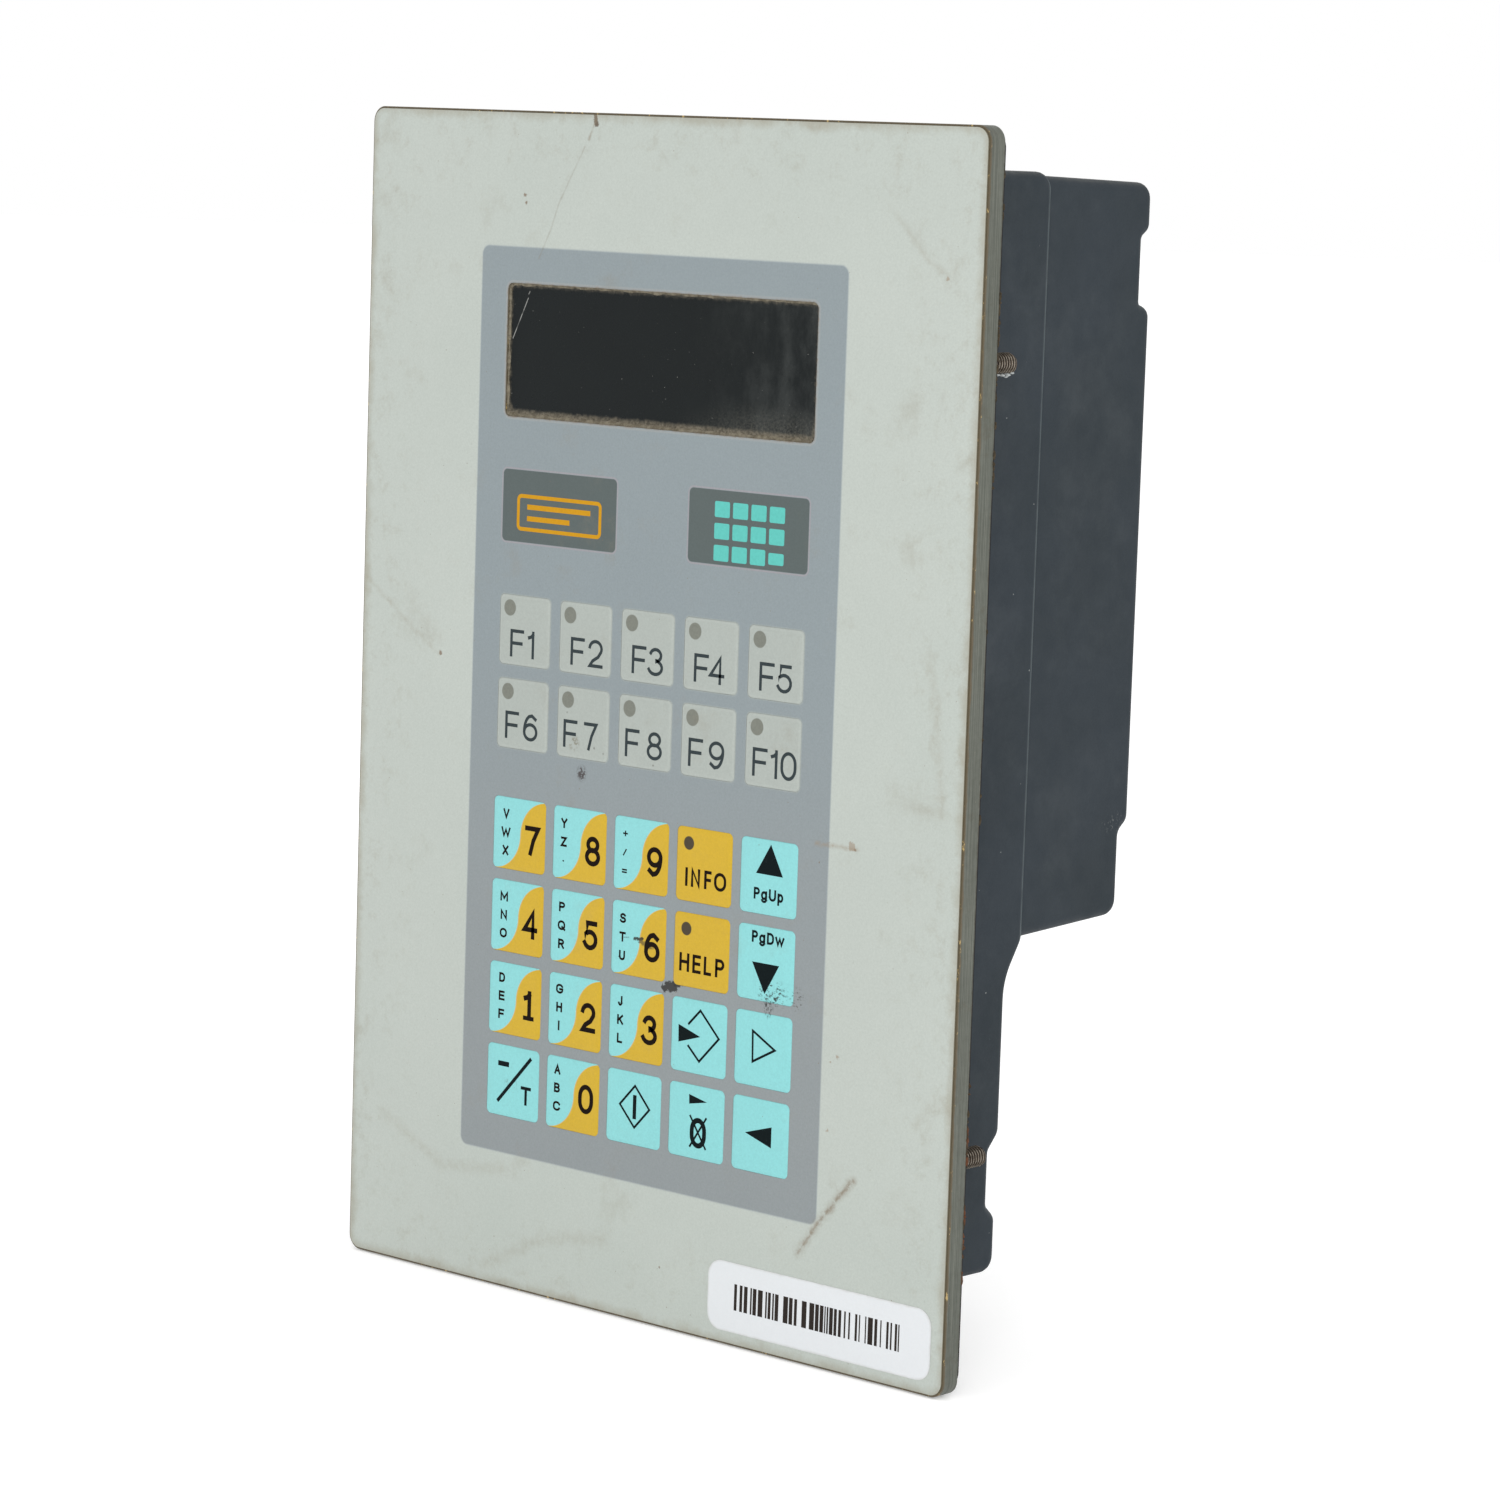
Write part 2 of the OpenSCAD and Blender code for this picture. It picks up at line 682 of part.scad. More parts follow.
module housing_inside() {
    tray_in = tray_x - wall;
    box_in = tray_in - side_step;
    block([-tray_in, tray_in], [-1, tray_y - wall], [field_z + wall, tray_top - wall]);
    block([-tray_in, tray_in], [-1, lower_band_y - wall], [tray_bottom + wall, field_z + wall + eps]);
    block([-tray_in, tray_in], [-1, low_tray_y - wall], [lower_band_z[1] + 4, field_z + wall + eps]);
    block([-box_in, box_in], [tray_y - wall - eps, upper_band_y - wall], [field_z + wall, box_top - 1 - wall]);
    block([-box_in, box_in], [tray_y - wall - eps, box_y - wall], [box_step_z + 4, upper_band_z[0] - 3]);
}

module rear_housing() {
    color(housing_grey) difference() {
        union() {
            difference() {
                housing_outside();
                housing_inside();
            }
            block([-field_x - 6, field_x + 6], [tray_y - wall, vent_y + 3], [field_z, field_z + wall]);
        }
        // Flat field for the connectors, sunk into the underside
        block([-field_x, field_x], field_y, [-40, field_z]);
        // Openings for the connectors and their screws
        for (c = [[serial_x, serial_w, serial_screws], [printer_x, printer_w, printer_screws]]) {
            translate([c[0], conn_y, field_z - eps]) linear_extrude(wall + 2 * eps)
                polygon(d_outline(c[1] + 0.8, 8.7));
            for (sx = [-1, 1]) translate([c[0] + sx * c[2] / 2, conn_y, field_z - eps])
                cylinder(h = wall + 2 * eps, r = clear_r);
        }
        block([terminal_x - terminal_size[0] / 2 - 0.2, terminal_x + terminal_size[0] / 2 + 0.2],
              [main_y + board_t - 0.2, main_y + board_t + terminal_size[1] + 0.2], [-40, field_z + wall + eps]);
        // Holes for the housing screws
        for (sx = [-1, 1]) {
            rod([sx * screw_x, upper_screw_z], upper_band_y - wall - 2, wall + 3, clear_r);
            rod([sx * screw_x, lower_screw_z], lower_band_y - wall - 2, wall + 3, clear_r);
        }
        // Ventilation slots on both sides of the connector field's rear
        for (sx = [-1, 1], i = [0 : 5])
            translate([sx * (16 + 6 * i), vent_y, field_z]) cube([2, 2.4, 12], center = true);
    }
}

front_overlay();
front_plate();
asset_label();
mounting_studs();
panel_gasket();
membrane_spacer();
membrane_circuit();
snap_domes();
keypad_ribbon();
display_window();
lcd_bezel();
lcd_glass();
lcd_backlight();
lcd_board();
display_ribbon();
led_board();
led_lamps();
main_board();
logic_chips();
backup_battery();
power_fuse();
serial_connector();
printer_connector();
power_terminal();
terminal_screws();
jack_screws();
support_posts();
board_screws();
rear_housing();
housing_screws();
for (k = KEYS) key(k);
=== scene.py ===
"""Looks of the operator panel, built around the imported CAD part.

The part's frame is in metres; every measure below is in millimetres and goes through MM.
X is to the operator's right, Y into the machine and Z up, from the centre of the plate's rear face.
"""

import json
import math
import random

import bmesh
import bpy
from mathutils import Matrix, Vector, noise


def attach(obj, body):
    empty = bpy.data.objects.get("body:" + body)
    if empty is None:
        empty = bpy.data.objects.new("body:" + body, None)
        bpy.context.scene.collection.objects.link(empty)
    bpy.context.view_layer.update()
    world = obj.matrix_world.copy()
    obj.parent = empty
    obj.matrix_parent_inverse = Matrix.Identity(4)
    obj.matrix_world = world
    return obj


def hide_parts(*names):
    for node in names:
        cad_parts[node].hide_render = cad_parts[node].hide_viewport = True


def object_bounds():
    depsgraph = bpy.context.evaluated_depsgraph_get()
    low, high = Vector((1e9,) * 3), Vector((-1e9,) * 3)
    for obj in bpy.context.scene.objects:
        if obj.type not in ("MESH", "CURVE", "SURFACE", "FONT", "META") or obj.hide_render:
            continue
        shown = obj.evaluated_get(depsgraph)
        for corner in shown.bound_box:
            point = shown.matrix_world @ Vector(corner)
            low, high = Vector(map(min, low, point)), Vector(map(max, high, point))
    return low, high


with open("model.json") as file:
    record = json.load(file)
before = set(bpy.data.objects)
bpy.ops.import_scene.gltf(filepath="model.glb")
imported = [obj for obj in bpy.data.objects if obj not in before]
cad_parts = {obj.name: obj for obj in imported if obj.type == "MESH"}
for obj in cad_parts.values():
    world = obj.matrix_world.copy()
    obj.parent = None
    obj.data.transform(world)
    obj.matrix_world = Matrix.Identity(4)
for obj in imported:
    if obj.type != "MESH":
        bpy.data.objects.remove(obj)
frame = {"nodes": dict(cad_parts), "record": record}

CAD_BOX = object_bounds()
MM = 0.001
NODES = frame["nodes"]

# The face. A box is the centre in X and Z, half the width, half the height, and the corners' radius.
PITCH = 16.4
COLUMNS = [-33.1 + i * PITCH for i in range(5)]
F_ROWS = [15.15, -1.25]
NUM_ROWS = [-24.9 - i * PITCH for i in range(4)]
F_KEY, NUM_KEY, KEY_R = 13.5, 14.0, 1.0
FIELD = (-0.1, 0.4, 47.2, 89.0, 1.8)
BADGES = [(-24.75, 39.4, 15.25, 7.0, 1.0), (24.45, 39.4, 15.05, 7.0, 1.0)]
WINDOW = (0.0, 69.5, 40.1, 12.9, 1.3)
LABEL = (48.2, -106.15, 27.7, 6.75, 3.3)
PLATE_EDGE = (0.0, 0.0, 78.6, 115.1, 2.6)
# Depths in Y: the print, the pane, the fronts of the keys, and how far ink stands out
FACE, PANE_Y, KEY_FRONT = -4.25, -3.6, -4.45
INK_T, INK_SUNK = 0.012, 0.002
# Lamp spots from the centre of their key, with their radius, and the studs from the plate's centre
LAMP_F = (-4.02, 4.3, 1.6)
LAMP_NUM = (-3.9, 4.05, 1.3)
STUD = 73.0
# Brightness of every material on the panel, set against the studio's light
EXPOSURE = 0.75


def srgb(r, g, b):
    """A colour given as it looks, from 0 to 255, in linear light."""

    def lin(v):
        v /= 255
        return v / 12.92 if v <= 0.04045 else ((v + 0.055) / 1.055) ** 2.4

    return (lin(r), lin(g), lin(b), 1.0)


# ---------------------------------------------------------------- materials


class Mat:
    """A node material being put together. Its coordinates are the part's, in millimetres."""

    def __init__(self, name):
        self.mat = bpy.data.materials.new(name)
        self.mat.use_nodes = True
        self.tree = self.mat.node_tree
        self.shader = self.tree.nodes["Principled BSDF"]
        coord = self.tree.nodes.new("ShaderNodeTexCoord").outputs["Object"]
        self.p = self.vector("SCALE", coord, scale=1000.0)
        parts = self.add("ShaderNodeSeparateXYZ", {0: self.p}).outputs
        self.x, self.y, self.z = parts[0], parts[1], parts[2]
        self.bumps = []

    def add(self, kind, inputs=None, **settings):
        node = self.tree.nodes.new(kind)
        for k, v in settings.items():
            setattr(node, k, v)
        for k, v in (inputs or {}).items():
            self.put(node.inputs[k], v)
        return node

    def put(self, socket, value):
        if isinstance(value, bpy.types.NodeSocket):
            self.tree.links.new(value, socket)
        else:
            socket.default_value = value

    def vector(self, op, a, b=None, scale=None):
        """Vector maths on a, with b or a scale."""
        inputs = {0: a}
        if b is not None:
            inputs[1] = b
        if scale is not None:
            inputs[3] = scale
        return self.add("ShaderNodeVectorMath", inputs, operation=op).outputs[0]

    def calc(self, op, a, b=0.0, c=0.0, clamp=False):
        node = self.add("ShaderNodeMath", {0: a, 1: b, 2: c}, operation=op)
        node.use_clamp = clamp
        return node.outputs[0]

    def sum(self, a, b, clamp=False):
        return self.calc("ADD", a, b, clamp=clamp)

    def sub(self, a, b):
        return self.calc("SUBTRACT", a, b)

    def mul(self, a, b):
        return self.calc("MULTIPLY", a, b)

    def max(self, a, b):
        return self.calc("MAXIMUM", a, b)

    def min(self, a, b):
        return self.calc("MINIMUM", a, b)

    def abs(self, a):
        return self.calc("ABSOLUTE", a)

    def noise(self, scale, detail=3.0, rough=0.55, stretch=None, distortion=0.0):
        """Noise from 0 to 1 with about scale features in a millimetre."""
        p = self.p if stretch is None else self.vector("MULTIPLY", self.p, stretch)
        node = self.add(
            "ShaderNodeTexNoise",
            {"Vector": p, "Scale": scale, "Detail": detail, "Roughness": rough, "Distortion": distortion},
        )
        return node.outputs["Fac"]

    def cells(self, scale, stretch=None):
        """Distance to the nearest of scattered points, and that point's random colour."""
        p = self.p if stretch is None else self.vector("MULTIPLY", self.p, stretch)
        node = self.add("ShaderNodeTexVoronoi", {"Vector": p, "Scale": scale})
        return node.outputs["Distance"], node.outputs["Color"]

    def ramp(self, value, lo, hi, out_lo=0.0, out_hi=1.0):
        """A smooth step of value, from out_lo at lo to out_hi at hi."""
        node = self.add(
            "ShaderNodeMapRange",
            {"Value": value, "From Min": lo, "From Max": hi, "To Min": out_lo, "To Max": out_hi},
            interpolation_type="SMOOTHSTEP",
        )
        return node.outputs["Result"]

    def mix(self, fac, a, b):
        node = self.add("ShaderNodeMix", data_type="RGBA")
        self.put(node.inputs["Factor"], fac)
        self.put(node.inputs[6], a)
        self.put(node.inputs[7], b)
        return node.outputs[2]

    def shade(self, colour, value):
        """The colour, brighter or darker by a factor."""
        fixed = not isinstance(colour, bpy.types.NodeSocket)
        return self.vector("SCALE", colour[:3] if fixed else colour, scale=value)

    def vary(self, colour, amount, *args, **kw):
        """The colour with its brightness varied by noise."""
        return self.shade(colour, self.calc("MULTIPLY_ADD", self.noise(*args, **kw), 2 * amount, 1 - amount))

    def specks(self, scale, size, share):
        """Small round specks, in a share of the cells of about 1/scale millimetres."""
        dist, colour = self.cells(scale)
        pick = self.add("ShaderNodeSeparateColor", {0: colour}).outputs
        radius = self.mul(self.calc("MULTIPLY_ADD", pick[1], 0.9, 0.35), size * scale)
        spot = self.calc("LESS_THAN", self.sub(dist, radius), 0.0)
        return self.mul(spot, self.calc("GREATER_THAN", pick[0], 1 - share))

    # distances on the face, in X and Z

    def box(self, cx, cz, hw, hh, r, x=None, z=None):
        """Distance to a rounded box, below zero inside it."""
        x, z = x or self.x, z or self.z
        qx = self.sub(self.abs(self.sub(x, cx)), hw - r)
        qz = self.sub(self.abs(self.sub(z, cz)), hh - r)
        far_x = self.calc("POWER", self.max(qx, 0.0), 2.0)
        far_z = self.calc("POWER", self.max(qz, 0.0), 2.0)
        out = self.calc("SQRT", self.sum(far_x, far_z))
        inner = self.min(self.max(qx, qz), 0.0)
        return self.sub(self.sum(out, inner), r)

    def dist(self, cx, cz, x=None, z=None, sx=1.0, sz=1.0):
        """Distance to a point, with each axis scaled."""
        x, z = x or self.x, z or self.z
        dx = self.mul(self.sub(x, cx), sx)
        dz = self.mul(self.sub(z, cz), sz)
        return self.calc("SQRT", self.sum(self.mul(dx, dx), self.mul(dz, dz)))

    def line(self, ax, az, bx, bz):
        """Distance to the line from a to b."""
        ux, uz = bx - ax, bz - az
        n = ux * ux + uz * uz
        dx, dz = self.sub(self.x, ax), self.sub(self.z, az)
        t = self.sum(self.mul(dx, ux / n), self.mul(dz, uz / n), clamp=True)
        ex = self.sub(dx, self.mul(t, ux))
        ez = self.sub(dz, self.mul(t, uz))
        return self.calc("SQRT", self.sum(self.mul(ex, ex), self.mul(ez, ez)))

    def within(self, d, soft=0.06):
        """One inside the distance d and zero outside it, with a soft edge."""
        return self.ramp(d, soft, -soft)

    def cell_pos(self, value, first):
        """A coordinate measured from the centre of the key it falls on."""
        t = self.sum(value, PITCH / 2 - first + 20 * PITCH)
        return self.sub(self.calc("MODULO", t, PITCH), PITCH / 2)

    def relief(self, height, depth):
        """Adds height (0 to 1) as relief of that depth in millimetres."""
        self.bumps.append((height, depth))

    def finish(self, colour, roughness, metallic=0.0, specular=0.4, gain=EXPOSURE):
        """Joins colour, gloss and relief to the shader and gives the material."""
        colour = self.shade(colour, gain)
        self.put(self.shader.inputs["Base Color"], colour)
        self.put(self.shader.inputs["Roughness"], roughness)
        self.put(self.shader.inputs["Metallic"], metallic)
        self.shader.inputs["Specular IOR Level"].default_value = specular
        normal = None
        for height, depth in self.bumps:
            bump = self.add("ShaderNodeBump", {"Height": height, "Distance": depth * MM, "Strength": 1.0})
            if normal is not None:
                self.put(bump.inputs["Normal"], normal)
            normal = bump.outputs["Normal"]
        if normal is not None:
            self.put(self.shader.inputs["Normal"], normal)
        return self.mat


def plain(
    name, look, rough, metal=0.0, grain=1.5, amount=0.1, depth=0.01, specular=0.4, stretch=None, dust=0.0
):
    """A material with grain, mottling, uneven gloss and relief."""
    m = Mat(name)
    colour = m.vary(srgb(*look), amount * 0.6, grain, 2.0, 0.6, stretch)
    colour = m.vary(colour, amount, grain * 0.08, 3.0)
    if dust:
        haze = m.ramp(m.noise(0.25, 5.0, 0.7), 0.45, 0.8, 0.0, dust)
        colour = m.mix(haze, colour, srgb(150, 140, 122))
    roughness = m.ramp(m.noise(grain * 0.3, 4.0), 0.2, 0.8, rough - 0.08, rough + 0.08)
    m.relief(m.noise(grain * 2, 3.0, 0.6, stretch), depth)
    return m.finish(colour, roughness, metal, specular)


DIRT = srgb(128, 104, 80)
SOOT = srgb(46, 45, 44)


def film(name, colour_of, rough=0.46, specular=0.3, marks=None, dirt=1.0):
    """Printed polyester film: fine grain, faint mottling, specks of dirt, and the marks given."""
    m = Mat(name)
    colour = colour_of(m)
    colour = m.vary(colour, 0.14, 2.4, 3.0, 0.7)
    colour = m.vary(colour, 0.03, 0.045, 4.0, 0.6)
    for size, radius, share, strength in (
        (0.11, 0.3, 0.16, 0.6), (0.3, 0.13, 0.22, 0.5), (0.55, 0.09, 0.12, 0.7),
    ):
        dark = m.specks(size, radius, share * dirt)
        colour = m.mix(m.mul(dark, strength), colour, DIRT)
    smudge = m.ramp(m.noise(0.09, 6.0, 0.68), 0.55, 0.78, 0.0, 0.24 * dirt)
    colour = m.mix(smudge, colour, srgb(146, 134, 112))
    fine = m.ramp(m.noise(1.3, 4.0, 0.7), 0.66, 0.78, 0.0, 0.3 * dirt)
    colour = m.mix(fine, colour, srgb(120, 112, 98))
    if marks:
        colour = marks(m, colour)
    roughness = m.ramp(m.noise(0.5, 4.0), 0.25, 0.75, rough - 0.06, rough + 0.07)
    m.relief(m.noise(4.0, 2.0, 0.5), 0.006)
    m.relief(m.noise(0.12, 2.0), 0.05)
    return m.finish(colour, roughness, 0.0, specular)


def blot(m, colour, distance, radius, tone, ragged=1.2, freq=0.8, strength=0.85):
    """A ragged mark within radius of a line or point."""
    edge = m.calc("MULTIPLY_ADD", m.noise(freq, 4.0, 0.65), ragged * 2, -ragged)
    d = m.sub(m.sum(distance, edge), radius)
    return m.mix(m.mul(m.within(d, 0.15), strength), colour, tone)


def trail(m, colour, points, width, tone, strength):
    """A faint smear along points, broken up by noise."""
    d = None
    for (ax, az), (bx, bz) in zip(points, points[1:]):
        one = m.line(ax, az, bx, bz)
        d = one if d is None else m.min(d, one)
    d = m.sub(d, m.calc("MULTIPLY_ADD", m.noise(0.5, 4.0, 0.7), 1.8 * width, -0.5 * width))
    body = m.mul(m.within(d, width * 0.7), m.ramp(m.noise(0.7, 5.0, 0.7), 0.25, 0.6))
    return m.mix(m.mul(body, strength), colour, tone)


def scratchy(m, colour, cx, cz, rx, rz, tone, strength, stretch=(1.6, 1.0, 0.7), cut=0.56):
    """Short dark scrapes in a soft oval."""
    oval = m.ramp(m.dist(cx, cz, sx=1 / rx, sz=1 / rz), 1.0, 0.35)
    marks = m.ramp(m.noise(1.2, 5.0, 0.7, stretch), cut, cut + 0.06)
    return m.mix(m.mul(m.mul(oval, marks), strength), colour, tone)


def print_marks(m, colour):
    """Marks on the print that lie on the field and on the keys round it."""
    colour = blot(m, colour, m.line(7.0, -49.3, 9.2, -49.1), 0.9, SOOT, 1.5, 0.7, 0.95)
    colour = blot(m, colour, m.line(9.4, -48.6, 11.4, -48.3), 0.25, SOOT, 0.7, 1.2, 0.95)
    colour = scratchy(m, colour, 34.4, -46.6, 5.0, 3.4, srgb(44, 46, 42), 0.95, (1.0, 1.0, 1.9), 0.53)
    colour = scratchy(m, colour, 33.4, -49.5, 1.6, 2.4, srgb(36, 38, 34), 0.95, (1.9, 1.0, 1.0), 0.5)
    colour = scratchy(m, colour, 40.5, -46.8, 2.2, 3.0, srgb(76, 76, 70), 0.8, (1.0, 1.0, 1.6), 0.54)
    colour = scratchy(m, colour, -16.7, -10.9, 1.7, 2.0, srgb(72, 66, 66), 0.95, (1.0, 1.0, 1.0), 0.45)
    return colour


def face_colour(m):
    """Light grey face, darker field, the two dark plates with a pale outline painted as the highlight on
    their edge, and the dirt on them.
    """
    plate = m.mix(m.ramp(m.noise(0.02, 3.0), 0.35, 0.7, 0.0, 0.5), srgb(199, 206, 199), srgb(193, 201, 194))
    field = m.box(*FIELD)
    low = m.mix(m.ramp(m.z, -60.0, 30.0), srgb(150, 157, 159), srgb(148, 159, 163))
    colour = m.mix(m.within(field, 0.2), plate, low)
    u = m.cell_pos(m.x, COLUMNS[0])
    v = m.cell_pos(m.z, F_ROWS[0])
    halo = m.ramp(m.box(0.05, 0.0, F_KEY / 2 + 0.12, F_KEY / 2 + 0.12, KEY_R, u, v), 0.35, -0.1, 0.0, 0.55)
    rows = m.within(m.box(COLUMNS[2], F_ROWS[0] - PITCH / 2, 2.5 * PITCH, PITCH, 0.1))
    colour = m.mix(m.mul(halo, rows), colour, srgb(177, 184, 178))
    colour = m.mix(m.ramp(m.abs(field), 0.35, 0.0, 0.0, 0.2), colour, srgb(176, 186, 190))
    rim = m.box(*WINDOW)
    halo = m.ramp(m.abs(m.sub(rim, 0.35)), 0.35, 0.0, 0.0, 0.55)
    colour = m.mix(halo, colour, srgb(168, 170, 168))
    for b in BADGES:
        d = m.box(*b)
        # Pale outline round each dark plate: a painted highlight on its edge.
        edge = m.ramp(m.abs(m.sub(d, 0.22)), 0.24, 0.06, 0.0, 0.75)
        colour = m.mix(edge, colour, srgb(166, 160, 166))
        colour = m.mix(m.within(d, 0.07), colour, srgb(90, 101, 100))
    return colour


def face_marks(m, colour):
    """Specks, smears, scuffs and the grime along the plate's edge."""
    colour = print_marks(m, colour)
    rim = m.sum(m.box(*WINDOW), m.mul(m.noise(0.7, 4.0, 0.7), -0.8))
    tan = m.ramp(rim, -0.1, -0.5, 0.0, 0.8)
    colour = m.mix(tan, colour, srgb(140, 122, 104))
    for cx, cz, r in ((-36.1, 99.4, 0.35), (-35.8, 97.9, 0.3), (-56.4, 8.7, 0.45), (53.5, -17.1, 0.3)):
        colour = blot(m, colour, m.dist(cx, cz), r, DIRT, 0.5, 1.5, 0.8)
    for cx, cz, r in (
        (52.6, -16.6, 0.9), (49.3, -57.2, 0.25), (50.9, -56.0, 0.25), (49.0, -70.4, 0.2), (70.5, 88.0, 0.3),
    ):
        colour = blot(m, colour, m.dist(cx, cz), r, srgb(158, 136, 112), 0.9, 1.5, 0.6)
    scrape = [(-20.5, 109.0), (-27.0, 98.1), (-29.0, 93.0), (-32.0, 87.4)]
    colour = trail(m, colour, scrape, 0.3, srgb(138, 126, 108), 0.4)
    smear = [(42.9, -94.6), (46.4, -89.5), (52.8, -81.8), (55.7, -78.7)]
    colour = trail(m, colour, smear, 1.5, srgb(148, 134, 114), 0.6)
    colour = trail(m, colour, smear, 0.6, srgb(130, 112, 90), 0.6)
    colour = blot(m, colour, m.line(-17.9, 115.0, -17.5, 113.4), 0.5, srgb(96, 78, 60), 0.7, 1.5, 0.9)
    colour = trail(m, colour, [(-17.8, 114.0), (-19.5, 110.5)], 0.5, srgb(140, 122, 98), 0.6)
    colour = trail(m, colour, [(44.0, -17.0), (50.0, -16.9), (54.0, -17.0)], 0.7, srgb(158, 140, 116), 0.6)
    for path, width in (
        ([(-78.0, 22.0), (-66.0, 14.0), (-57.0, 8.5)], 0.9),
        ([(58.0, 99.0), (66.0, 91.0), (70.0, 89.0)], 1.0),
        ([(70.0, -66.0), (76.0, -60.0), (78.0, -62.0)], 1.6),
        ([(-40.0, -112.0), (-24.0, -104.0), (-8.0, -101.0)], 2.2),
        ([(-70.0, -86.0), (-52.0, -94.0), (-36.0, -92.0)], 2.0),
        ([(70.0, 20.0), (74.0, -8.0)], 1.8),
    ):
        colour = trail(m, colour, path, width, srgb(160, 150, 130), 0.24)
    edge = m.box(*PLATE_EDGE)
    near = m.ramp(m.sum(edge, m.mul(m.noise(0.16, 5.0, 0.7), 5.0)), 0.4, 3.2, 0.0, 0.5)
    colour = m.mix(near, colour, srgb(158, 148, 124))
    band = m.ramp(m.noise(0.35, 5.0, 0.72), 0.5, 0.75, 0.0, 0.22)
    outer = m.ramp(edge, -24.0, -4.0)
    colour = m.mix(m.mul(band, outer), colour, srgb(150, 136, 112))
    side = m.ramp(m.y, -4.24, -4.20, 0.0, 0.8)
    colour = m.mix(side, colour, srgb(132, 124, 104))
    return colour


def lamp_spot(m, colour, look, place, columns, rows):
    """The clear spot in the print that the lamp shows through."""
    u, v = m.cell_pos(m.x, columns), m.cell_pos(m.z, rows)
    tone = m.vary(srgb(*look), 0.16, 1.6, 3.0, 0.65)
    d = m.sub(m.dist(place[0], place[1], u, v), place[2])
    return m.mix(m.within(d, 0.10), colour, tone)


def painted_edge_highlight(m, colour, half, rows, amount):
    """A painted highlight round the embossed edge of a key."""
    u, v = m.cell_pos(m.x, COLUMNS[0]), m.cell_pos(m.z, rows)
    d = m.box(0.0, 0.0, half, half, KEY_R, u, v)
    # Painted highlight: paler towards the key's raised edge.
    return m.mix(m.ramp(m.abs(m.sum(d, 0.28)), 0.3, 0.0, 0.0, amount), colour, srgb(214, 220, 214))


def grey_key(m):
    """A function key: light grey with the spot of its lamp."""
    colour = m.vary(srgb(181, 188, 182), 0.02, 0.12)
    colour = lamp_spot(m, colour, (128, 131, 121), LAMP_F, COLUMNS[0], F_ROWS[0])
    # Painted highlight round the key's raised edge.
    return painted_edge_highlight(m, colour, F_KEY / 2, F_ROWS[0], 0.12)


def grey_marks(m, colour):
    colour = scratchy(m, colour, -18.8, -5.2, 1.9, 2.3, srgb(120, 112, 88), 0.6, (1.0, 1.0, 1.0), 0.5)
    for cx, cz, r in ((-13.4, -5.6, 0.2), (-20.9, 0.6, 0.15), (2.2, -7.2, 0.15), (-11.0, -6.4, 0.15)):
        colour = blot(m, colour, m.dist(cx, cz), r, srgb(90, 86, 76), 0.25, 2.0, 0.7)
    return colour


AQUA = srgb(148, 224, 225)
AMBER = srgb(219, 180, 42)


def number_key(m):
    """Blue-green on the left and amber on the right, parted by an S of two quarter circles."""
    u, v = m.cell_pos(m.x, COLUMNS[0]), m.cell_pos(m.z, NUM_ROWS[0])
    half = NUM_KEY / 2
    w = m.calc("DIVIDE", v, -half)
    rise = m.sub(1.0, m.calc("SQRT", m.max(m.sub(1.0, m.mul(w, w)), 0.0)))
    bend = m.mul(m.mul(m.calc("SIGN", w), rise), 0.5 * NUM_KEY)
    d = m.sum(m.sub(u, 0.03 * NUM_KEY), bend)
    colour = m.mix(m.ramp(d, -0.06, 0.06), AQUA, AMBER)
    seam = m.ramp(m.abs(m.sub(d, 0.12)), 0.2, 0.02, 0.0, 0.6)
    return m.mix(seam, colour, srgb(226, 190, 132))


def number_marks(m, colour):
    colour = blot(m, colour, m.line(-1.3, -41.0, 0.9, -40.8), 0.28, srgb(44, 38, 26), 0.7, 1.0, 0.95)
    colour = blot(m, colour, m.line(0.4, -41.4, 3.2, -42.2), 0.45, srgb(84, 70, 40), 0.9, 1.0, 0.75)
    colour = blot(m, colour, m.line(-4.6, -41.2, -2.8, -41.0), 0.06, srgb(70, 84, 84), 0.5, 1.4, 0.7)
    return print_marks(m, colour)


def amber_key(m):
    return lamp_spot(m, AMBER, (70, 58, 36), LAMP_NUM, COLUMNS[0], NUM_ROWS[0])


def aqua_marks(m, colour):
    colour = print_marks(m, colour)
    return scratchy(m, colour, -33.5, -74.6, 2.4, 2.0, srgb(118, 160, 160), 0.6, cut=0.52)


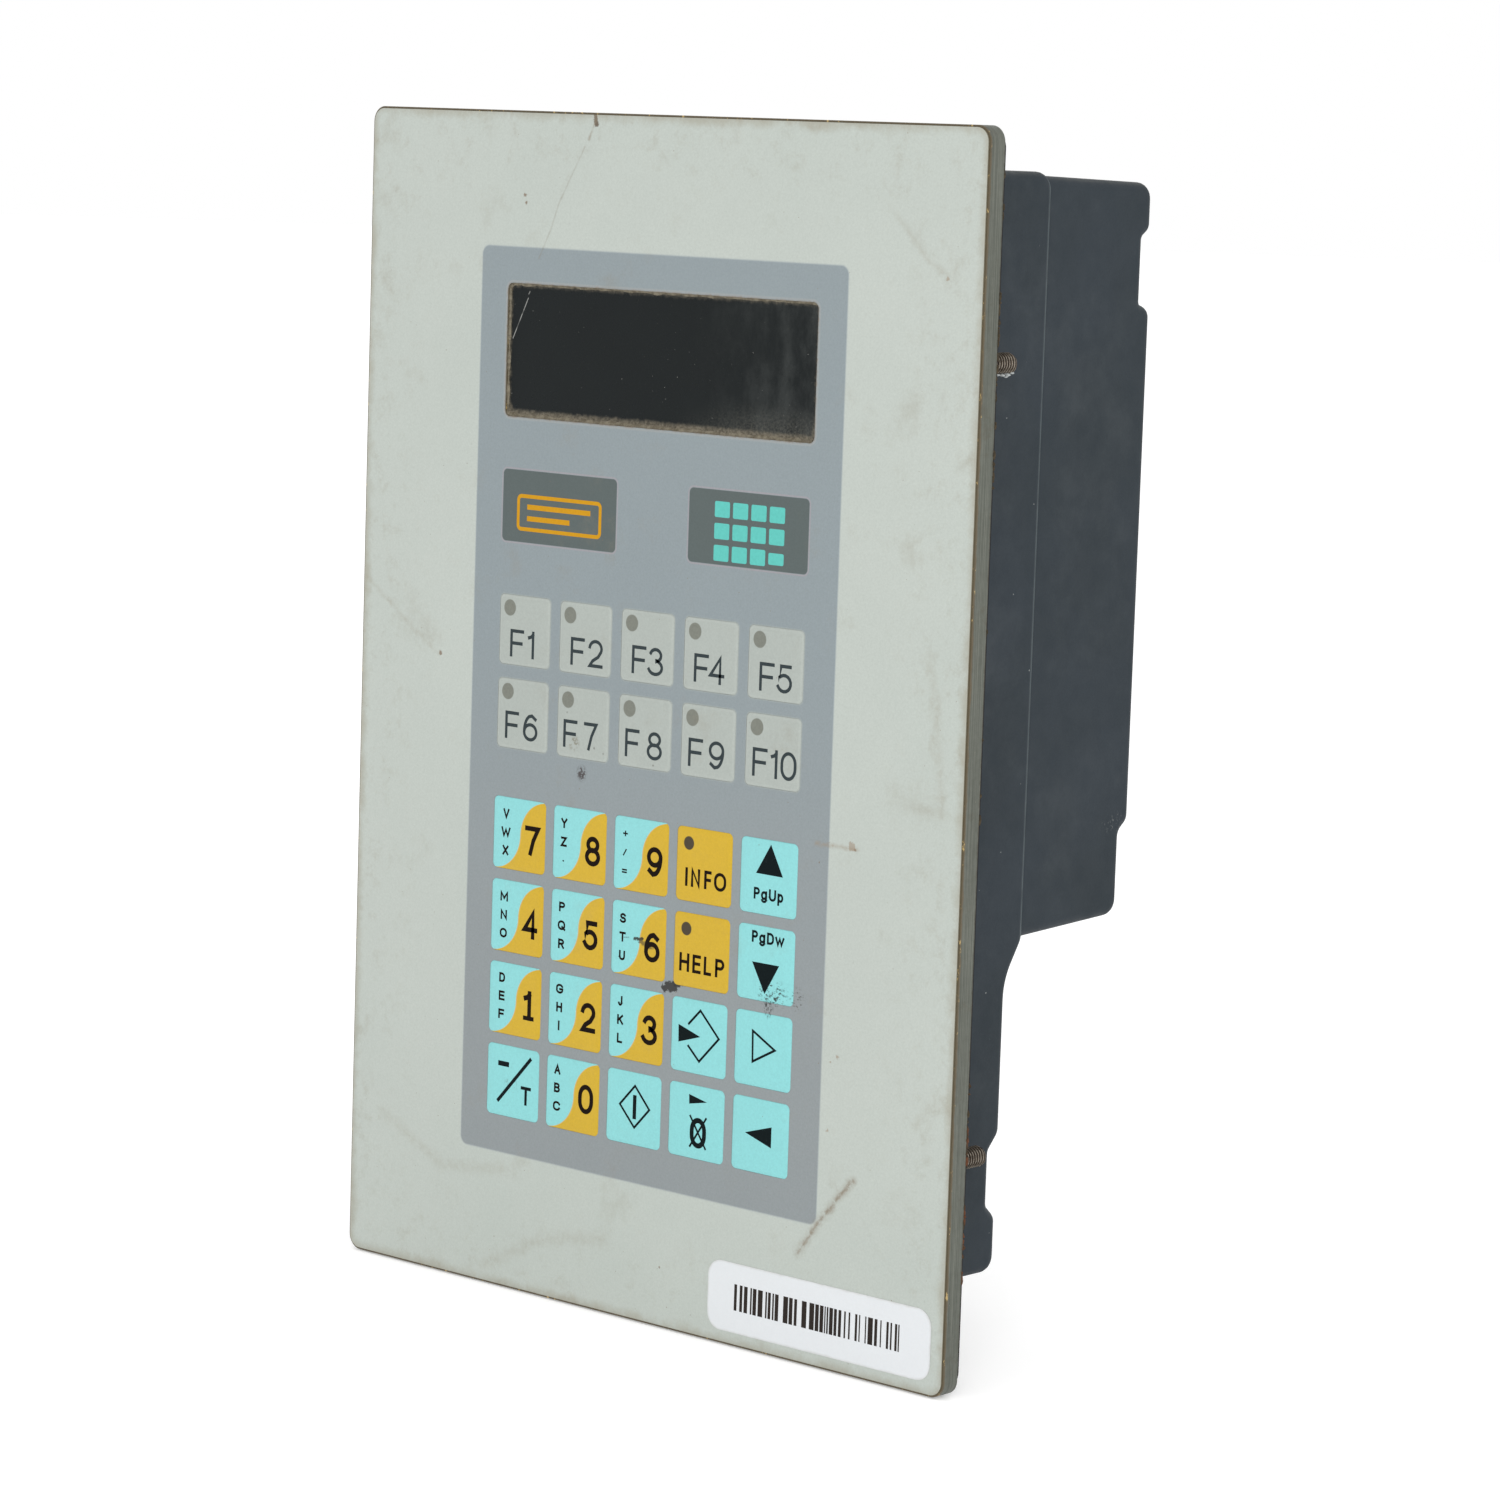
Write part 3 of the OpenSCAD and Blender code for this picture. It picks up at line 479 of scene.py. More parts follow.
def window_material():
    """Smoked acrylic with a haze of dust, brown dirt packed round its rim, and a scratch."""
    m = Mat("window_acrylic")
    d = m.box(*WINDOW)
    colour = m.vary(srgb(17, 23, 24), 0.2, 0.05, 3.0)
    right = m.ramp(m.x, 4.0, 38.0, 0.0, 0.3)
    haze = m.mul(m.ramp(m.noise(0.09, 6.0, 0.7, (1.0, 1.0, 0.5)), 0.40, 0.75), right)
    colour = m.mix(haze, colour, srgb(104, 108, 106))
    corner = m.ramp(m.dist(30.0, 57.0, sx=0.035, sz=0.14), 1.0, 0.0, 0.0, 0.5)
    grain = m.ramp(m.noise(2.2, 5.0, 0.75), 0.35, 0.75)
    colour = m.mix(m.mul(corner, grain), colour, srgb(124, 122, 112))
    grit = m.ramp(m.noise(2.4, 4.0, 0.7), 0.66, 0.78, 0.0, 0.3)
    colour = m.mix(grit, colour, srgb(110, 104, 96))
    for size, radius, share in ((0.42, 0.10, 0.4), (0.75, 0.07, 0.3)):
        colour = m.mix(m.mul(m.specks(size, radius, share), 0.6), colour, srgb(186, 184, 178))
    low = m.ramp(m.z, 60.5, 57.0, 0.0, 1.0)
    reach = m.sum(m.mul(m.noise(0.6, 5.0, 0.75), 1.8), low)
    pack = m.ramp(m.sum(d, reach), -0.2, 1.2, 0.0, 0.9)
    brown = m.mix(m.ramp(m.noise(1.4, 4.0, 0.7), 0.35, 0.65), srgb(136, 128, 112), srgb(88, 82, 70))
    colour = m.mix(pack, colour, brown)
    scratch = m.line(-35.2, 79.6, -39.1, 71.7)
    thin = m.mul(m.ramp(scratch, 0.14, 0.03), m.ramp(m.noise(0.6, 3.0), 0.35, 0.5, 0.3, 0.9))
    colour = m.mix(thin, colour, srgb(176, 176, 172))
    nick = m.ramp(m.line(-35.1, 80.4, -34.8, 80.9), 0.14, 0.03, 0.0, 0.7)
    colour = m.mix(nick, colour, srgb(176, 176, 172))
    gloss = m.ramp(m.noise(0.3, 5.0, 0.7), 0.3, 0.8, 0.22, 0.42)
    roughness = m.sum(gloss, m.mul(pack, 0.4), clamp=True)
    m.relief(m.noise(1.2, 4.0, 0.6), 0.008)
    return m.finish(colour, roughness, 0.0, 0.14)


def plate_material():
    """Sawn and brushed aluminium, dull with age, with grime along the film's edge and bright nicks."""
    m = Mat("plate_aluminium")
    along = m.sum(m.x, m.z)
    lines = m.add("ShaderNodeCombineXYZ", {0: m.mul(m.y, 5.0), 1: m.mul(along, 0.035)}).outputs[0]
    brushed = {"Vector": lines, "Scale": 1.0, "Detail": 5.0, "Roughness": 0.65}
    brush = m.add("ShaderNodeTexNoise", brushed).outputs["Fac"]
    colour = m.mix(m.ramp(brush, 0.3, 0.7), srgb(84, 88, 80), srgb(122, 125, 115))
    colour = m.vary(colour, 0.16, 0.05, 4.0)
    colour = m.vary(colour, 0.10, 1.3, 3.0, 0.7)
    front = m.sum(m.y, m.mul(m.noise(0.35, 5.0, 0.7), -1.1))
    grime = m.ramp(front, -4.0, -4.4, 0.0, 0.85)
    colour = m.mix(grime, colour, srgb(98, 84, 58))
    flakes = m.ramp(m.noise(0.8, 4.0, 0.75, (1.0, 1.0, 0.5)), 0.6, 0.66)
    chip = m.mul(flakes, m.ramp(m.y, -3.5, -3.8))
    colour = m.mix(chip, colour, srgb(206, 178, 116))
    patch = m.ramp(m.noise(0.22, 5.0, 0.72), 0.56, 0.72, 0.0, 0.5)
    colour = m.mix(patch, colour, srgb(82, 78, 62))
    back = m.ramp(m.sum(m.y, m.mul(m.noise(0.5, 5.0, 0.7), 1.4)), 0.3, 0.9, 0.0, 0.7)
    colour = m.mix(back, colour, srgb(70, 62, 48))
    nick = m.ramp(m.noise(0.9, 4.0, 0.75, (1.0, 1.4, 0.55)), 0.70, 0.74, 0.0, 0.8)
    colour = m.mix(nick, colour, srgb(190, 184, 164))
    metal = m.ramp(m.max(grime, patch), 0.0, 0.8, 0.45, 0.1)
    roughness = m.ramp(m.noise(0.6, 4.0), 0.3, 0.7, 0.42, 0.6)
    m.relief(brush, 0.03)
    m.relief(m.noise(2.5, 3.0, 0.6), 0.01)
    return m.finish(colour, roughness, metal, 0.4)


def housing_material():
    """Moulded plastic, dark blue grey and satin, with a fine skin, a painted highlight along the crease,
    dusty scuffs, and paler patches on faces that point up.
    """
    m = Mat("housing_plastic")
    colour = m.mix(m.ramp(m.noise(0.03, 3.0), 0.35, 0.65), srgb(40, 47, 52), srgb(43, 50, 56))
    colour = m.vary(colour, 0.05, 0.11, 4.0, 0.6)
    colour = m.vary(colour, 0.16, 2.2, 3.0, 0.7)
    # Painted highlight along the crease where tray meets box, on the outer faces, in patches.
    crease = m.abs(m.sub(m.y, 27.5))
    out = m.max(m.ramp(m.abs(m.x), 65.0, 66.5), m.ramp(m.z, 105.5, 106.4))
    patchy = m.ramp(m.noise(0.3, 4.0), 0.2, 0.6, 0.2, 0.5)
    crease_highlight = m.mul(m.mul(m.ramp(crease, 0.75, 0.1), out), patchy)
    colour = m.mix(crease_highlight, colour, srgb(92, 104, 106))
    pale = m.mul(m.specks(0.22, 0.14, 0.12), 0.6)
    colour = m.mix(pale, colour, srgb(150, 154, 152))
    side = m.ramp(m.x, 62.0, 65.0)
    for cy, cz, ry, rz in (
        (56.0, -15.5, 5.0, 2.6), (59.0, -19.0, 2.0, 3.5), (4.5, -66.0, 4.0, 7.0), (4.0, -88.0, 4.0, 5.0),
    ):
        oval = m.ramp(m.dist(cy, cz, m.y, m.z, 1 / ry, 1 / rz), 1.1, 0.2)
        flecks = m.ramp(m.noise(1.3, 5.0, 0.75), 0.55, 0.68)
        scuff = m.mul(m.mul(oval, flecks), m.mul(side, 0.5))
        colour = m.mix(scuff, colour, srgb(150, 152, 148))
    haze = m.ramp(m.noise(0.05, 5.0, 0.65), 0.5, 0.8, 0.0, 0.05)
    colour = m.mix(haze, colour, srgb(140, 144, 144))
    # Faces that point up are made paler, in patches.
    facing = m.add("ShaderNodeNewGeometry").outputs["Normal"]
    up = m.add("ShaderNodeSeparateXYZ", {0: facing}).outputs[2]
    paler_facing_up = m.mul(m.ramp(up, 0.5, 0.95, 0.0, 0.2), m.ramp(m.noise(0.6, 5.0, 0.7), 0.2, 0.8))
    colour = m.mix(paler_facing_up, colour, srgb(120, 118, 108))
    roughness = m.ramp(m.noise(0.25, 4.0, 0.6), 0.3, 0.7, 0.5, 0.62)
    m.relief(m.noise(2.8, 3.0, 0.6), 0.018)
    m.relief(m.noise(0.05, 2.0), 0.1)
    return m.finish(colour, roughness, 0.0, 0.14, 1.0)


def stud_material():
    """Zinc plated steel, dark in the roots of the thread and bright on its crests, with some rust."""
    m = Mat("zinc_steel")
    colour = m.mix(m.ramp(m.noise(0.9, 4.0, 0.7), 0.35, 0.65), srgb(150, 138, 122), srgb(112, 98, 84))
    out = m.dist(0.0, 0.0, m.sub(m.abs(m.x), STUD), m.sub(m.abs(m.z), STUD))
    colour = m.mix(m.ramp(out, 1.66, 1.9), srgb(52, 44, 38), colour)
    colour = m.mix(m.ramp(out, 1.9, 1.97, 0.0, 0.6), colour, srgb(226, 218, 204))
    colour = m.vary(colour, 0.2, 3.0, 3.0, 0.6)
    rust = m.ramp(m.noise(0.7, 5.0, 0.75), 0.56, 0.7, 0.0, 0.6)
    colour = m.mix(rust, colour, srgb(92, 66, 46))
    metal = m.ramp(rust, 0.0, 0.6, 0.6, 0.1)
    m.relief(m.noise(5.0, 3.0), 0.01)
    return m.finish(colour, m.ramp(m.noise(1.5, 3.0), 0.3, 0.7, 0.34, 0.52), metal, 0.5)


def label_material():
    """White label film, grubby along its cut edge."""
    m = Mat("label_film")
    colour = m.vary(srgb(238, 241, 244), 0.03, 2.0, 3.0)
    d = m.box(*LABEL)
    grubby = m.ramp(m.sum(d, m.mul(m.noise(0.5, 4.0, 0.7), 0.9)), -0.1, 0.7, 0.0, 0.5)
    colour = m.mix(grubby, colour, srgb(188, 186, 178))
    m.relief(m.noise(3.0, 2.0), 0.004)
    m.relief(m.noise(0.15, 2.0), 0.03)
    return m.finish(colour, m.ramp(m.noise(0.4, 3.0), 0.3, 0.7, 0.3, 0.42), 0.0, 0.35)


def ink(name, look, wear=0.25, rough=0.5):
    """Printing ink, a little uneven and thin in places."""
    m = Mat(name)
    colour = m.vary(srgb(*look), 0.12, 1.6, 3.0, 0.6)
    thin = m.ramp(m.noise(1.3, 5.0, 0.75), 0.62, 0.74, 0.0, wear)
    colour = m.mix(thin, colour, srgb(*[min(255, v + 60) for v in look]))
    m.relief(m.noise(4.0, 2.0), 0.004)
    return m.finish(colour, rough, 0.0, 0.04)


def crumbs_material():
    """Dried brown dirt, rusty low on the panel."""
    m = Mat("dried_dirt")
    colour = m.mix(m.ramp(m.noise(0.9, 4.0, 0.7), 0.35, 0.65), srgb(80, 70, 54), srgb(60, 54, 44))
    rusty = m.mul(m.ramp(m.z, -40.0, -62.0), m.ramp(m.noise(0.35, 3.0), 0.4, 0.6))
    colour = m.mix(rusty, colour, srgb(104, 68, 48))
    colour = m.vary(colour, 0.3, 3.0, 3.0, 0.7)
    m.relief(m.noise(3.0, 4.0, 0.7), 0.1)
    return m.finish(colour, 0.9, 0.0, 0.15)


def residue_material():
    """Pale dried sealant."""
    m = Mat("pale_residue")
    colour = m.vary(srgb(186, 190, 190), 0.2, 2.0, 4.0, 0.7)
    m.relief(m.noise(2.5, 4.0, 0.7), 0.06)
    return m.finish(colour, 0.75, 0.0, 0.2)


def board_material():
    """Green solder mask with the copper tracks showing as paler lines."""
    m = Mat("circuit_board")
    dist, _ = m.cells(0.35, (1.0, 0.2, 1.0))
    tracks = m.ramp(m.calc("PINGPONG", m.sum(m.x, m.mul(dist, 3.0)), 1.0), 0.30, 0.42)
    colour = m.mix(tracks, srgb(36, 98, 58), srgb(26, 76, 44))
    colour = m.vary(colour, 0.08, 1.5, 3.0)
    m.relief(tracks, 0.03)
    return m.finish(colour, m.ramp(m.noise(0.5, 3.0), 0.3, 0.7, 0.3, 0.42), 0.0, 0.45)


MATERIALS = {
    "overlay_print": film("overlay_print", face_colour, marks=face_marks),
    "plate_aluminium": plate_material(),
    "label_film": label_material(),
    "zinc_steel": stud_material(),
    "gasket_rubber": plain(
        "gasket_rubber", (34, 34, 36), 0.8, grain=1.8, amount=0.2, depth=0.05, specular=0.25, dust=0.1
    ),
    "spacer_film": plain("spacer_film", (196, 198, 190), 0.4, grain=2.0, amount=0.05),
    "circuit_film": plain("circuit_film", (196, 182, 150), 0.35, grain=2.0, amount=0.08),
    "dome_steel": plain("dome_steel", (188, 188, 186), 0.3, 0.95, grain=3.0, amount=0.1, depth=0.005),
    "ribbon_film": plain("ribbon_film", (206, 150, 70), 0.35, grain=1.2, amount=0.1, stretch=(4.0, 1.0, 0.1)),
    "window_acrylic": window_material(),
    "bezel_steel": plain("bezel_steel", (150, 150, 148), 0.38, 0.9, grain=1.6, amount=0.12),
    "lcd_glass": plain(
        "lcd_glass", (120, 138, 96), 0.16, grain=0.6, amount=0.06, depth=0.002, specular=0.5
    ),
    "backlight_plastic": plain("backlight_plastic", (214, 216, 208), 0.45, grain=1.0, amount=0.05),
    "circuit_board": board_material(),
    "ribbon_cable": plain(
        "ribbon_cable", (150, 152, 156), 0.5, grain=1.5, amount=0.12, stretch=(3.0, 0.1, 0.1)
    ),
    "lamp_lens": plain(
        "lamp_lens", (150, 134, 108), 0.25, grain=1.2, amount=0.1, depth=0.004, specular=0.5
    ),
    "chip_epoxy": plain("chip_epoxy", (40, 40, 43), 0.55, grain=3.0, amount=0.15, depth=0.015),
    "battery_steel": plain(
        "battery_steel", (186, 186, 184), 0.28, 0.95, grain=2.5, amount=0.08, depth=0.004
    ),
    "fuse_glass": plain("fuse_glass", (196, 202, 200), 0.2, 0.3, grain=1.5, amount=0.12, depth=0.004),
    "connector_shell": plain(
        "connector_shell", (176, 174, 166), 0.34, 0.85, grain=1.8, amount=0.12, depth=0.01, dust=0.25
    ),
    "terminal_plastic": plain(
        "terminal_plastic", (44, 110, 62), 0.45, grain=2.0, amount=0.1, depth=0.015, dust=0.2
    ),
    "post_brass": plain("post_brass", (190, 174, 130), 0.35, 0.9, grain=2.0, amount=0.1),
    "housing_plastic": housing_material(),
    "black_steel": plain(
        "black_steel", (112, 108, 102), 0.42, 0.8, grain=2.2, amount=0.25, depth=0.015, dust=0.2
    ),
    "key_film_grey": film("key_film_grey", grey_key, marks=grey_marks),
    "key_film_number": film("key_film_number", number_key, marks=number_marks, dirt=0.6),
    "key_film_amber": film("key_film_amber", amber_key, dirt=0.6),
    "key_film_aqua": film(
        "key_film_aqua", lambda m: m.vary(AQUA, 0.01, 0.1), marks=aqua_marks, dirt=0.6
    ),
}
INK_GREY = ink("ink_grey", (60, 69, 72))
INK_BLACK = ink("ink_black", (28, 18, 12), 0.1)
INK_DARK = ink("ink_dark", (16, 26, 28), 0.4)
INK_AMBER = ink("ink_amber", (216, 158, 36))
INK_AQUA = ink("ink_aqua", (106, 206, 196))
INK_BAR = ink("ink_bar", (52, 46, 42), 0.1)
CRUMBS = crumbs_material()
RESIDUE = residue_material()

for row in frame["record"]["subparts"]:
    for place in NODES[row["node"]].material_slots:
        place.material = MATERIALS[row["material_slot"]]

# ---------------------------------------------------------------- meshes


def piece(name, bm, material, body="panel", smooth=False, stands_for=None):
    """Turns a bmesh built in millimetres into a piece that rides on a body."""
    bmesh.ops.scale(bm, vec=(MM, MM, MM), verts=bm.verts)
    bmesh.ops.recalc_face_normals(bm, faces=bm.faces)
    mesh = bpy.data.meshes.new(name)
    bm.to_mesh(mesh)
    bm.free()
    for p in mesh.polygons:
        p.use_smooth = smooth
    obj = bpy.data.objects.new(name, mesh)
    bpy.context.scene.collection.objects.link(obj)
    obj.data.materials.append(material)
    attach(obj, body)
    if stands_for:
        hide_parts(stands_for)
    return obj


def bridge(bm, rings, caps=False):
    """Joins each closed ring of vertices to the next, and may close the first and last."""
    for a, b in zip(rings, rings[1:]):
        for i in range(len(a)):
            j = (i + 1) % len(a)
            bm.faces.new((a[i], a[j], b[j], b[i]))
    if caps:
        bm.faces.new(rings[0][::-1])
        bm.faces.new(rings[-1])


def prism(bm, points, front, back):
    """A flat shape on the face, from an outline in X and Z."""
    a = [bm.verts.new((x, front, z)) for x, z in points]
    b = [bm.verts.new((x, back, z)) for x, z in points]
    bm.faces.new(a)
    bm.faces.new(b[::-1])
    n = len(points)
    for i in range(n):
        bm.faces.new((a[i], a[(i + 1) % n], b[(i + 1) % n], b[i]))


def stroke(bm, points, width, front, back, closed=False, cap=0.0):
    """A line of even width with square ends, which may stand out by cap, as one closed band."""
    pts = [Vector(p) for p in points]
    n = len(pts)
    if cap and not closed:
        pts[0] = pts[0] + (pts[0] - pts[1]).normalized() * cap
        pts[-1] = pts[-1] + (pts[-1] - pts[-2]).normalized() * cap
    if closed:
        pts = pts[:-1] if (pts[0] - pts[-1]).length < 1e-6 else pts
        n = len(pts)
    left, right = [], []
    for i, p in enumerate(pts):
        before = pts[i - 1] if i or closed else None
        after = pts[(i + 1) % n] if i < n - 1 or closed else None
        d1 = (p - before).normalized() if before is not None else (after - p).normalized()
        d2 = (after - p).normalized() if after is not None else d1
        n1, n2 = Vector((-d1.y, d1.x)), Vector((-d2.y, d2.x))
        mitre = n1 + n2
        mitre = mitre.normalized() if mitre.length > 1e-6 else n1
        reach = width / 2 / max(mitre.dot(n1), 0.45)
        left.append(p + mitre * reach)
        right.append(p - mitre * reach)
    fl = [bm.verts.new((p.x, front, p.y)) for p in left]
    fr = [bm.verts.new((p.x, front, p.y)) for p in right]
    bl = [bm.verts.new((p.x, back, p.y)) for p in left]
    br = [bm.verts.new((p.x, back, p.y)) for p in right]
    for i in range(n if closed else n - 1):
        j = (i + 1) % n
        bm.faces.new((fl[i], fl[j], fr[j], fr[i]))
        bm.faces.new((bl[j], bl[i], br[i], br[j]))
        bm.faces.new((fl[j], fl[i], bl[i], bl[j]))
        bm.faces.new((fr[i], fr[j], br[j], br[i]))
    if not closed:
        bm.faces.new((fl[0], fr[0], br[0], bl[0]))
        bm.faces.new((fr[-1], fl[-1], bl[-1], br[-1]))


def arc(cx, cz, rx, rz, start, end, steps=14):
    return [
        (cx + rx * math.cos(math.radians(start + (end - start) * i / steps)),
         cz + rz * math.sin(math.radians(start + (end - start) * i / steps)))
        for i in range(steps + 1)
    ]


def ring(cx, cz, rx, rz):
    return arc(cx, cz, rx, rz, 0, 360, 28)


OVAL = arc(0.5, 0.59, 0.5, 0.41, 0, 180) + arc(0.5, 0.41, 0.5, 0.41, 180, 360) + [(1.0, 0.59)]
ROUND_P = arc(0.56, 0.74, 0.44, 0.26, 90, -90)
# Each character is a list of lines in a box one wide and one high
GLYPHS = {
    "0": [OVAL],
    "1": [[(0.06, 0.8), (0.5, 0.84), (0.8, 0.93)], [(0.84, 1.0), (0.84, 0.0)]],
    "2": [arc(0.5, 0.71, 0.48, 0.29, 170, -25) + [(0.72, 0.38), (0.28, 0.2), (0.06, 0.0), (1.0, 0.0)]],
    "3": [arc(0.48, 0.76, 0.42, 0.24, 160, -80) + arc(0.46, 0.27, 0.53, 0.27, 80, -160)],
    "4": [[(0.76, 0.0), (0.76, 0.98), (0.02, 0.28), (1.0, 0.28)]],
    "5": [[(0.92, 1.0), (0.22, 1.0), (0.1, 0.5)] + arc(0.48, 0.33, 0.5, 0.32, 138, -155)],
    "6": [ring(0.5, 0.31, 0.5, 0.31), arc(0.62, 0.34, 0.62, 0.66, 180, 112) + [(0.62, 0.99), (0.9, 0.86)]],
    "7": [[(0.0, 1.0), (1.0, 1.0), (0.6, 0.52), (0.36, 0.0)]],
    "8": [ring(0.5, 0.765, 0.41, 0.235), ring(0.5, 0.275, 0.5, 0.275)],
    "9": [ring(0.5, 0.69, 0.5, 0.31), arc(0.38, 0.66, 0.62, 0.66, 0, -68) + [(0.38, 0.01), (0.1, 0.14)]],
    "A": [[(0.0, 0.0), (0.5, 1.0), (1.0, 0.0)], [(0.17, 0.34), (0.83, 0.34)]],
    "B": [[(0.02, 0.0), (0.02, 1.0), (0.5, 1.0)] + arc(0.52, 0.765, 0.38, 0.235, 90, -90) + [(0.02, 0.53)],
          [(0.02, 0.53)] + arc(0.55, 0.265, 0.43, 0.265, 90, -90) + [(0.02, 0.0)]],
    "C": [arc(0.52, 0.66, 0.5, 0.34, 20, 180) + arc(0.52, 0.34, 0.5, 0.34, 180, 340)],
    "D": [[(0.02, 0.0), (0.02, 1.0)] + arc(0.42, 0.62, 0.56, 0.38, 90, 0)
          + arc(0.42, 0.38, 0.56, 0.38, 0, -90) + [(0.02, 0.0)]],
    "E": [[(0.98, 1.0), (0.02, 1.0), (0.02, 0.0), (1.0, 0.0)], [(0.02, 0.52), (0.9, 0.52)]],
    "F": [[(0.98, 1.0), (0.02, 1.0), (0.02, 0.0)], [(0.02, 0.5), (0.88, 0.5)]],
    "G": [arc(0.5, 0.66, 0.5, 0.34, 25, 180) + arc(0.5, 0.34, 0.5, 0.34, 180, 345)
          + [(1.0, 0.46), (0.56, 0.46)]],
    "H": [[(0.02, 0.0), (0.02, 1.0)], [(0.98, 0.0), (0.98, 1.0)], [(0.02, 0.53), (0.98, 0.53)]],
    "I": [[(0.5, 0.0), (0.5, 1.0)]],
    "J": [[(0.8, 1.0), (0.8, 0.3)] + arc(0.4, 0.3, 0.4, 0.3, 0, -165)],
    "K": [[(0.04, 0.0), (0.04, 1.0)], [(0.95, 1.0), (0.04, 0.36)], [(0.36, 0.6), (1.0, 0.0)]],
    "L": [[(0.04, 1.0), (0.04, 0.0), (0.95, 0.0)]],
    "M": [[(0.0, 0.0), (0.0, 1.0), (0.5, 0.25), (1.0, 1.0), (1.0, 0.0)]],
    "N": [[(0.02, 0.0), (0.02, 1.0), (0.98, 0.0), (0.98, 1.0)]],
    "O": [OVAL],
    "P": [[(0.04, 0.0), (0.04, 1.0), (0.5, 1.0)] + ROUND_P + [(0.04, 0.48)]],
    "Q": [OVAL, [(0.62, 0.28), (1.02, -0.04)]],
    "R": [[(0.04, 0.0), (0.04, 1.0), (0.5, 1.0)] + ROUND_P + [(0.04, 0.48)], [(0.56, 0.48), (1.0, 0.0)]],
    "S": [arc(0.5, 0.75, 0.44, 0.25, 25, 262) + arc(0.48, 0.26, 0.5, 0.26, 82, -158)],
    "T": [[(0.0, 1.0), (1.0, 1.0)], [(0.5, 1.0), (0.5, 0.0)]],
    "U": [[(0.02, 1.0), (0.02, 0.34)] + arc(0.5, 0.34, 0.48, 0.34, 180, 360) + [(0.98, 1.0)]],
    "V": [[(0.0, 1.0), (0.5, 0.0), (1.0, 1.0)]],
    "W": [[(0.0, 1.0), (0.24, 0.0), (0.5, 0.8), (0.76, 0.0), (1.0, 1.0)]],
    "X": [[(0.02, 0.0), (0.98, 1.0)], [(0.02, 1.0), (0.98, 0.0)]],
    "Y": [[(0.0, 1.0), (0.5, 0.48), (1.0, 1.0)], [(0.5, 0.48), (0.5, 0.0)]],
    "Z": [[(0.04, 1.0), (0.96, 1.0), (0.04, 0.0), (1.0, 0.0)]],
    "+": [[(0.5, 0.14), (0.5, 0.86)], [(0.04, 0.5), (0.96, 0.5)]],
    "/": [[(0.15, 0.02), (0.8, 0.98)]],
    "=": [[(0.0, 0.72), (1.0, 0.72)], [(0.0, 0.28), (1.0, 0.28)]],
    ".": [[(0.46, 0.4), (0.54, 0.4)]],
    "g": [ring(0.46, 0.36, 0.42, 0.34), [(0.9, 0.72), (0.9, -0.08)] + arc(0.48, -0.08, 0.42, 0.22, 0, -160)],
    "p": [[(0.06, 0.72), (0.06, -0.32)], ring(0.5, 0.36, 0.42, 0.34)],
    "w": [[(0.0, 0.72), (0.26, 0.02), (0.5, 0.66), (0.74, 0.02), (1.0, 0.72)]],
}


def letter(bm, char, left, top, width, height, line):
    """One character whose inked box has that left, top, width and height."""
    h = line / 2
    for k, path in enumerate(GLYPHS[char]):
        pts = [(left + h + x * (width - line), top - height + h + z * (height - line)) for x, z in path]
        closed = (Vector(pts[0]) - Vector(pts[-1])).length < 1e-4
        stroke(bm, pts, line, KEY_FRONT - INK_T - 0.002 * k, KEY_FRONT + INK_SUNK, closed, h)


def shift(points, at):
    return [(x + at[0], z + at[1]) for x, z in points]


# Where the letter and the digit of each function key start, from the key's centre
F_SPACING = [
    (-3.8, 1.0), (-3.75, 1.0), (-3.85, 0.5), (-4.1, -0.2), (-3.9, 0.45),
    (-4.6, 0.4), (-5.1, 0.45), (-5.0, 0.8), (-4.9, 0.4), (-4.95, 2.15),
]


def legend_f(bm, at, number):
    """The name of a function key, F1 to F10."""
    row = (number - 1) // 5
    top, high, line = at[1] + (0.15 if row == 0 else 0.45), 5.4, 0.66
    first, second = F_SPACING[number - 1]
    letter(bm, "F", at[0] + first, top, 3.85, high, line)
    if number == 10:
        letter(bm, "1", at[0] - 0.4, top, 2.0, high, line)
    width = {1: 2.05, 7: 3.6}.get(number, 3.95)
    letter(bm, str(number % 10), at[0] + second, top, width, high, line)


LETTER_WIDTHS = {
    "W": 2.5, "M": 2.1, "N": 1.8, "O": 1.95, "Q": 2.0, "G": 1.95, "C": 1.95, "I": 0.9, "J": 1.35, "L": 1.5,
}
# Top of the digit above its key's centre, by row
DIGIT_TOPS = [2.15, 2.1, 2.4, 2.7]


def legend_number(bm, at, row, digit, letters):
    """A large digit with its three small letters or signs on the left."""
    top = at[1] + DIGIT_TOPS[row]
    if digit == "1":
        letter(bm, "1", at[0] + 2.45, top, 2.4, 5.9, 1.0)
        drawn(bm, at, [(2.5, DIGIT_TOPS[row] - 5.45), (5.4, DIGIT_TOPS[row] - 5.45)], 0.85, lift=0.006)
    else:
        letter(bm, digit, at[0] + 1.7, top, 4.05, 5.8, 0.96)
    middle = at[0] + (-3.55 if at[0] < -20 else -4.1)
    for i, c in enumerate(letters):
        sign = c in "+/=."
        width = 1.3 if sign else LETTER_WIDTHS.get(c, 1.65)
        high = 1.4 if sign else 1.92
        drop = i * 3.63 + (1.92 - high) / 2 - (0.7 if digit == "0" else 0.25 if row == 2 else 0.0)
        letter(bm, c, middle - width / 2, at[1] + 4.8 - drop, width, high, 0.3 if sign else 0.43)


def legend_words(bm, at, word):
    """A word across an amber key."""
    places = {
        "INFO": [(-4.6, 0.6), (-3.15, 2.4), (0.25, 1.9), (2.8, 3.1)],
        "HELP": [(-5.5, 2.65), (-2.1, 2.2), (0.8, 2.05), (3.7, 2.4)],
    }
    for c, (left, width) in zip(word, places[word]):
        letter(bm, c, at[0] + left, at[1] - 0.65, width, 3.55, 0.62)


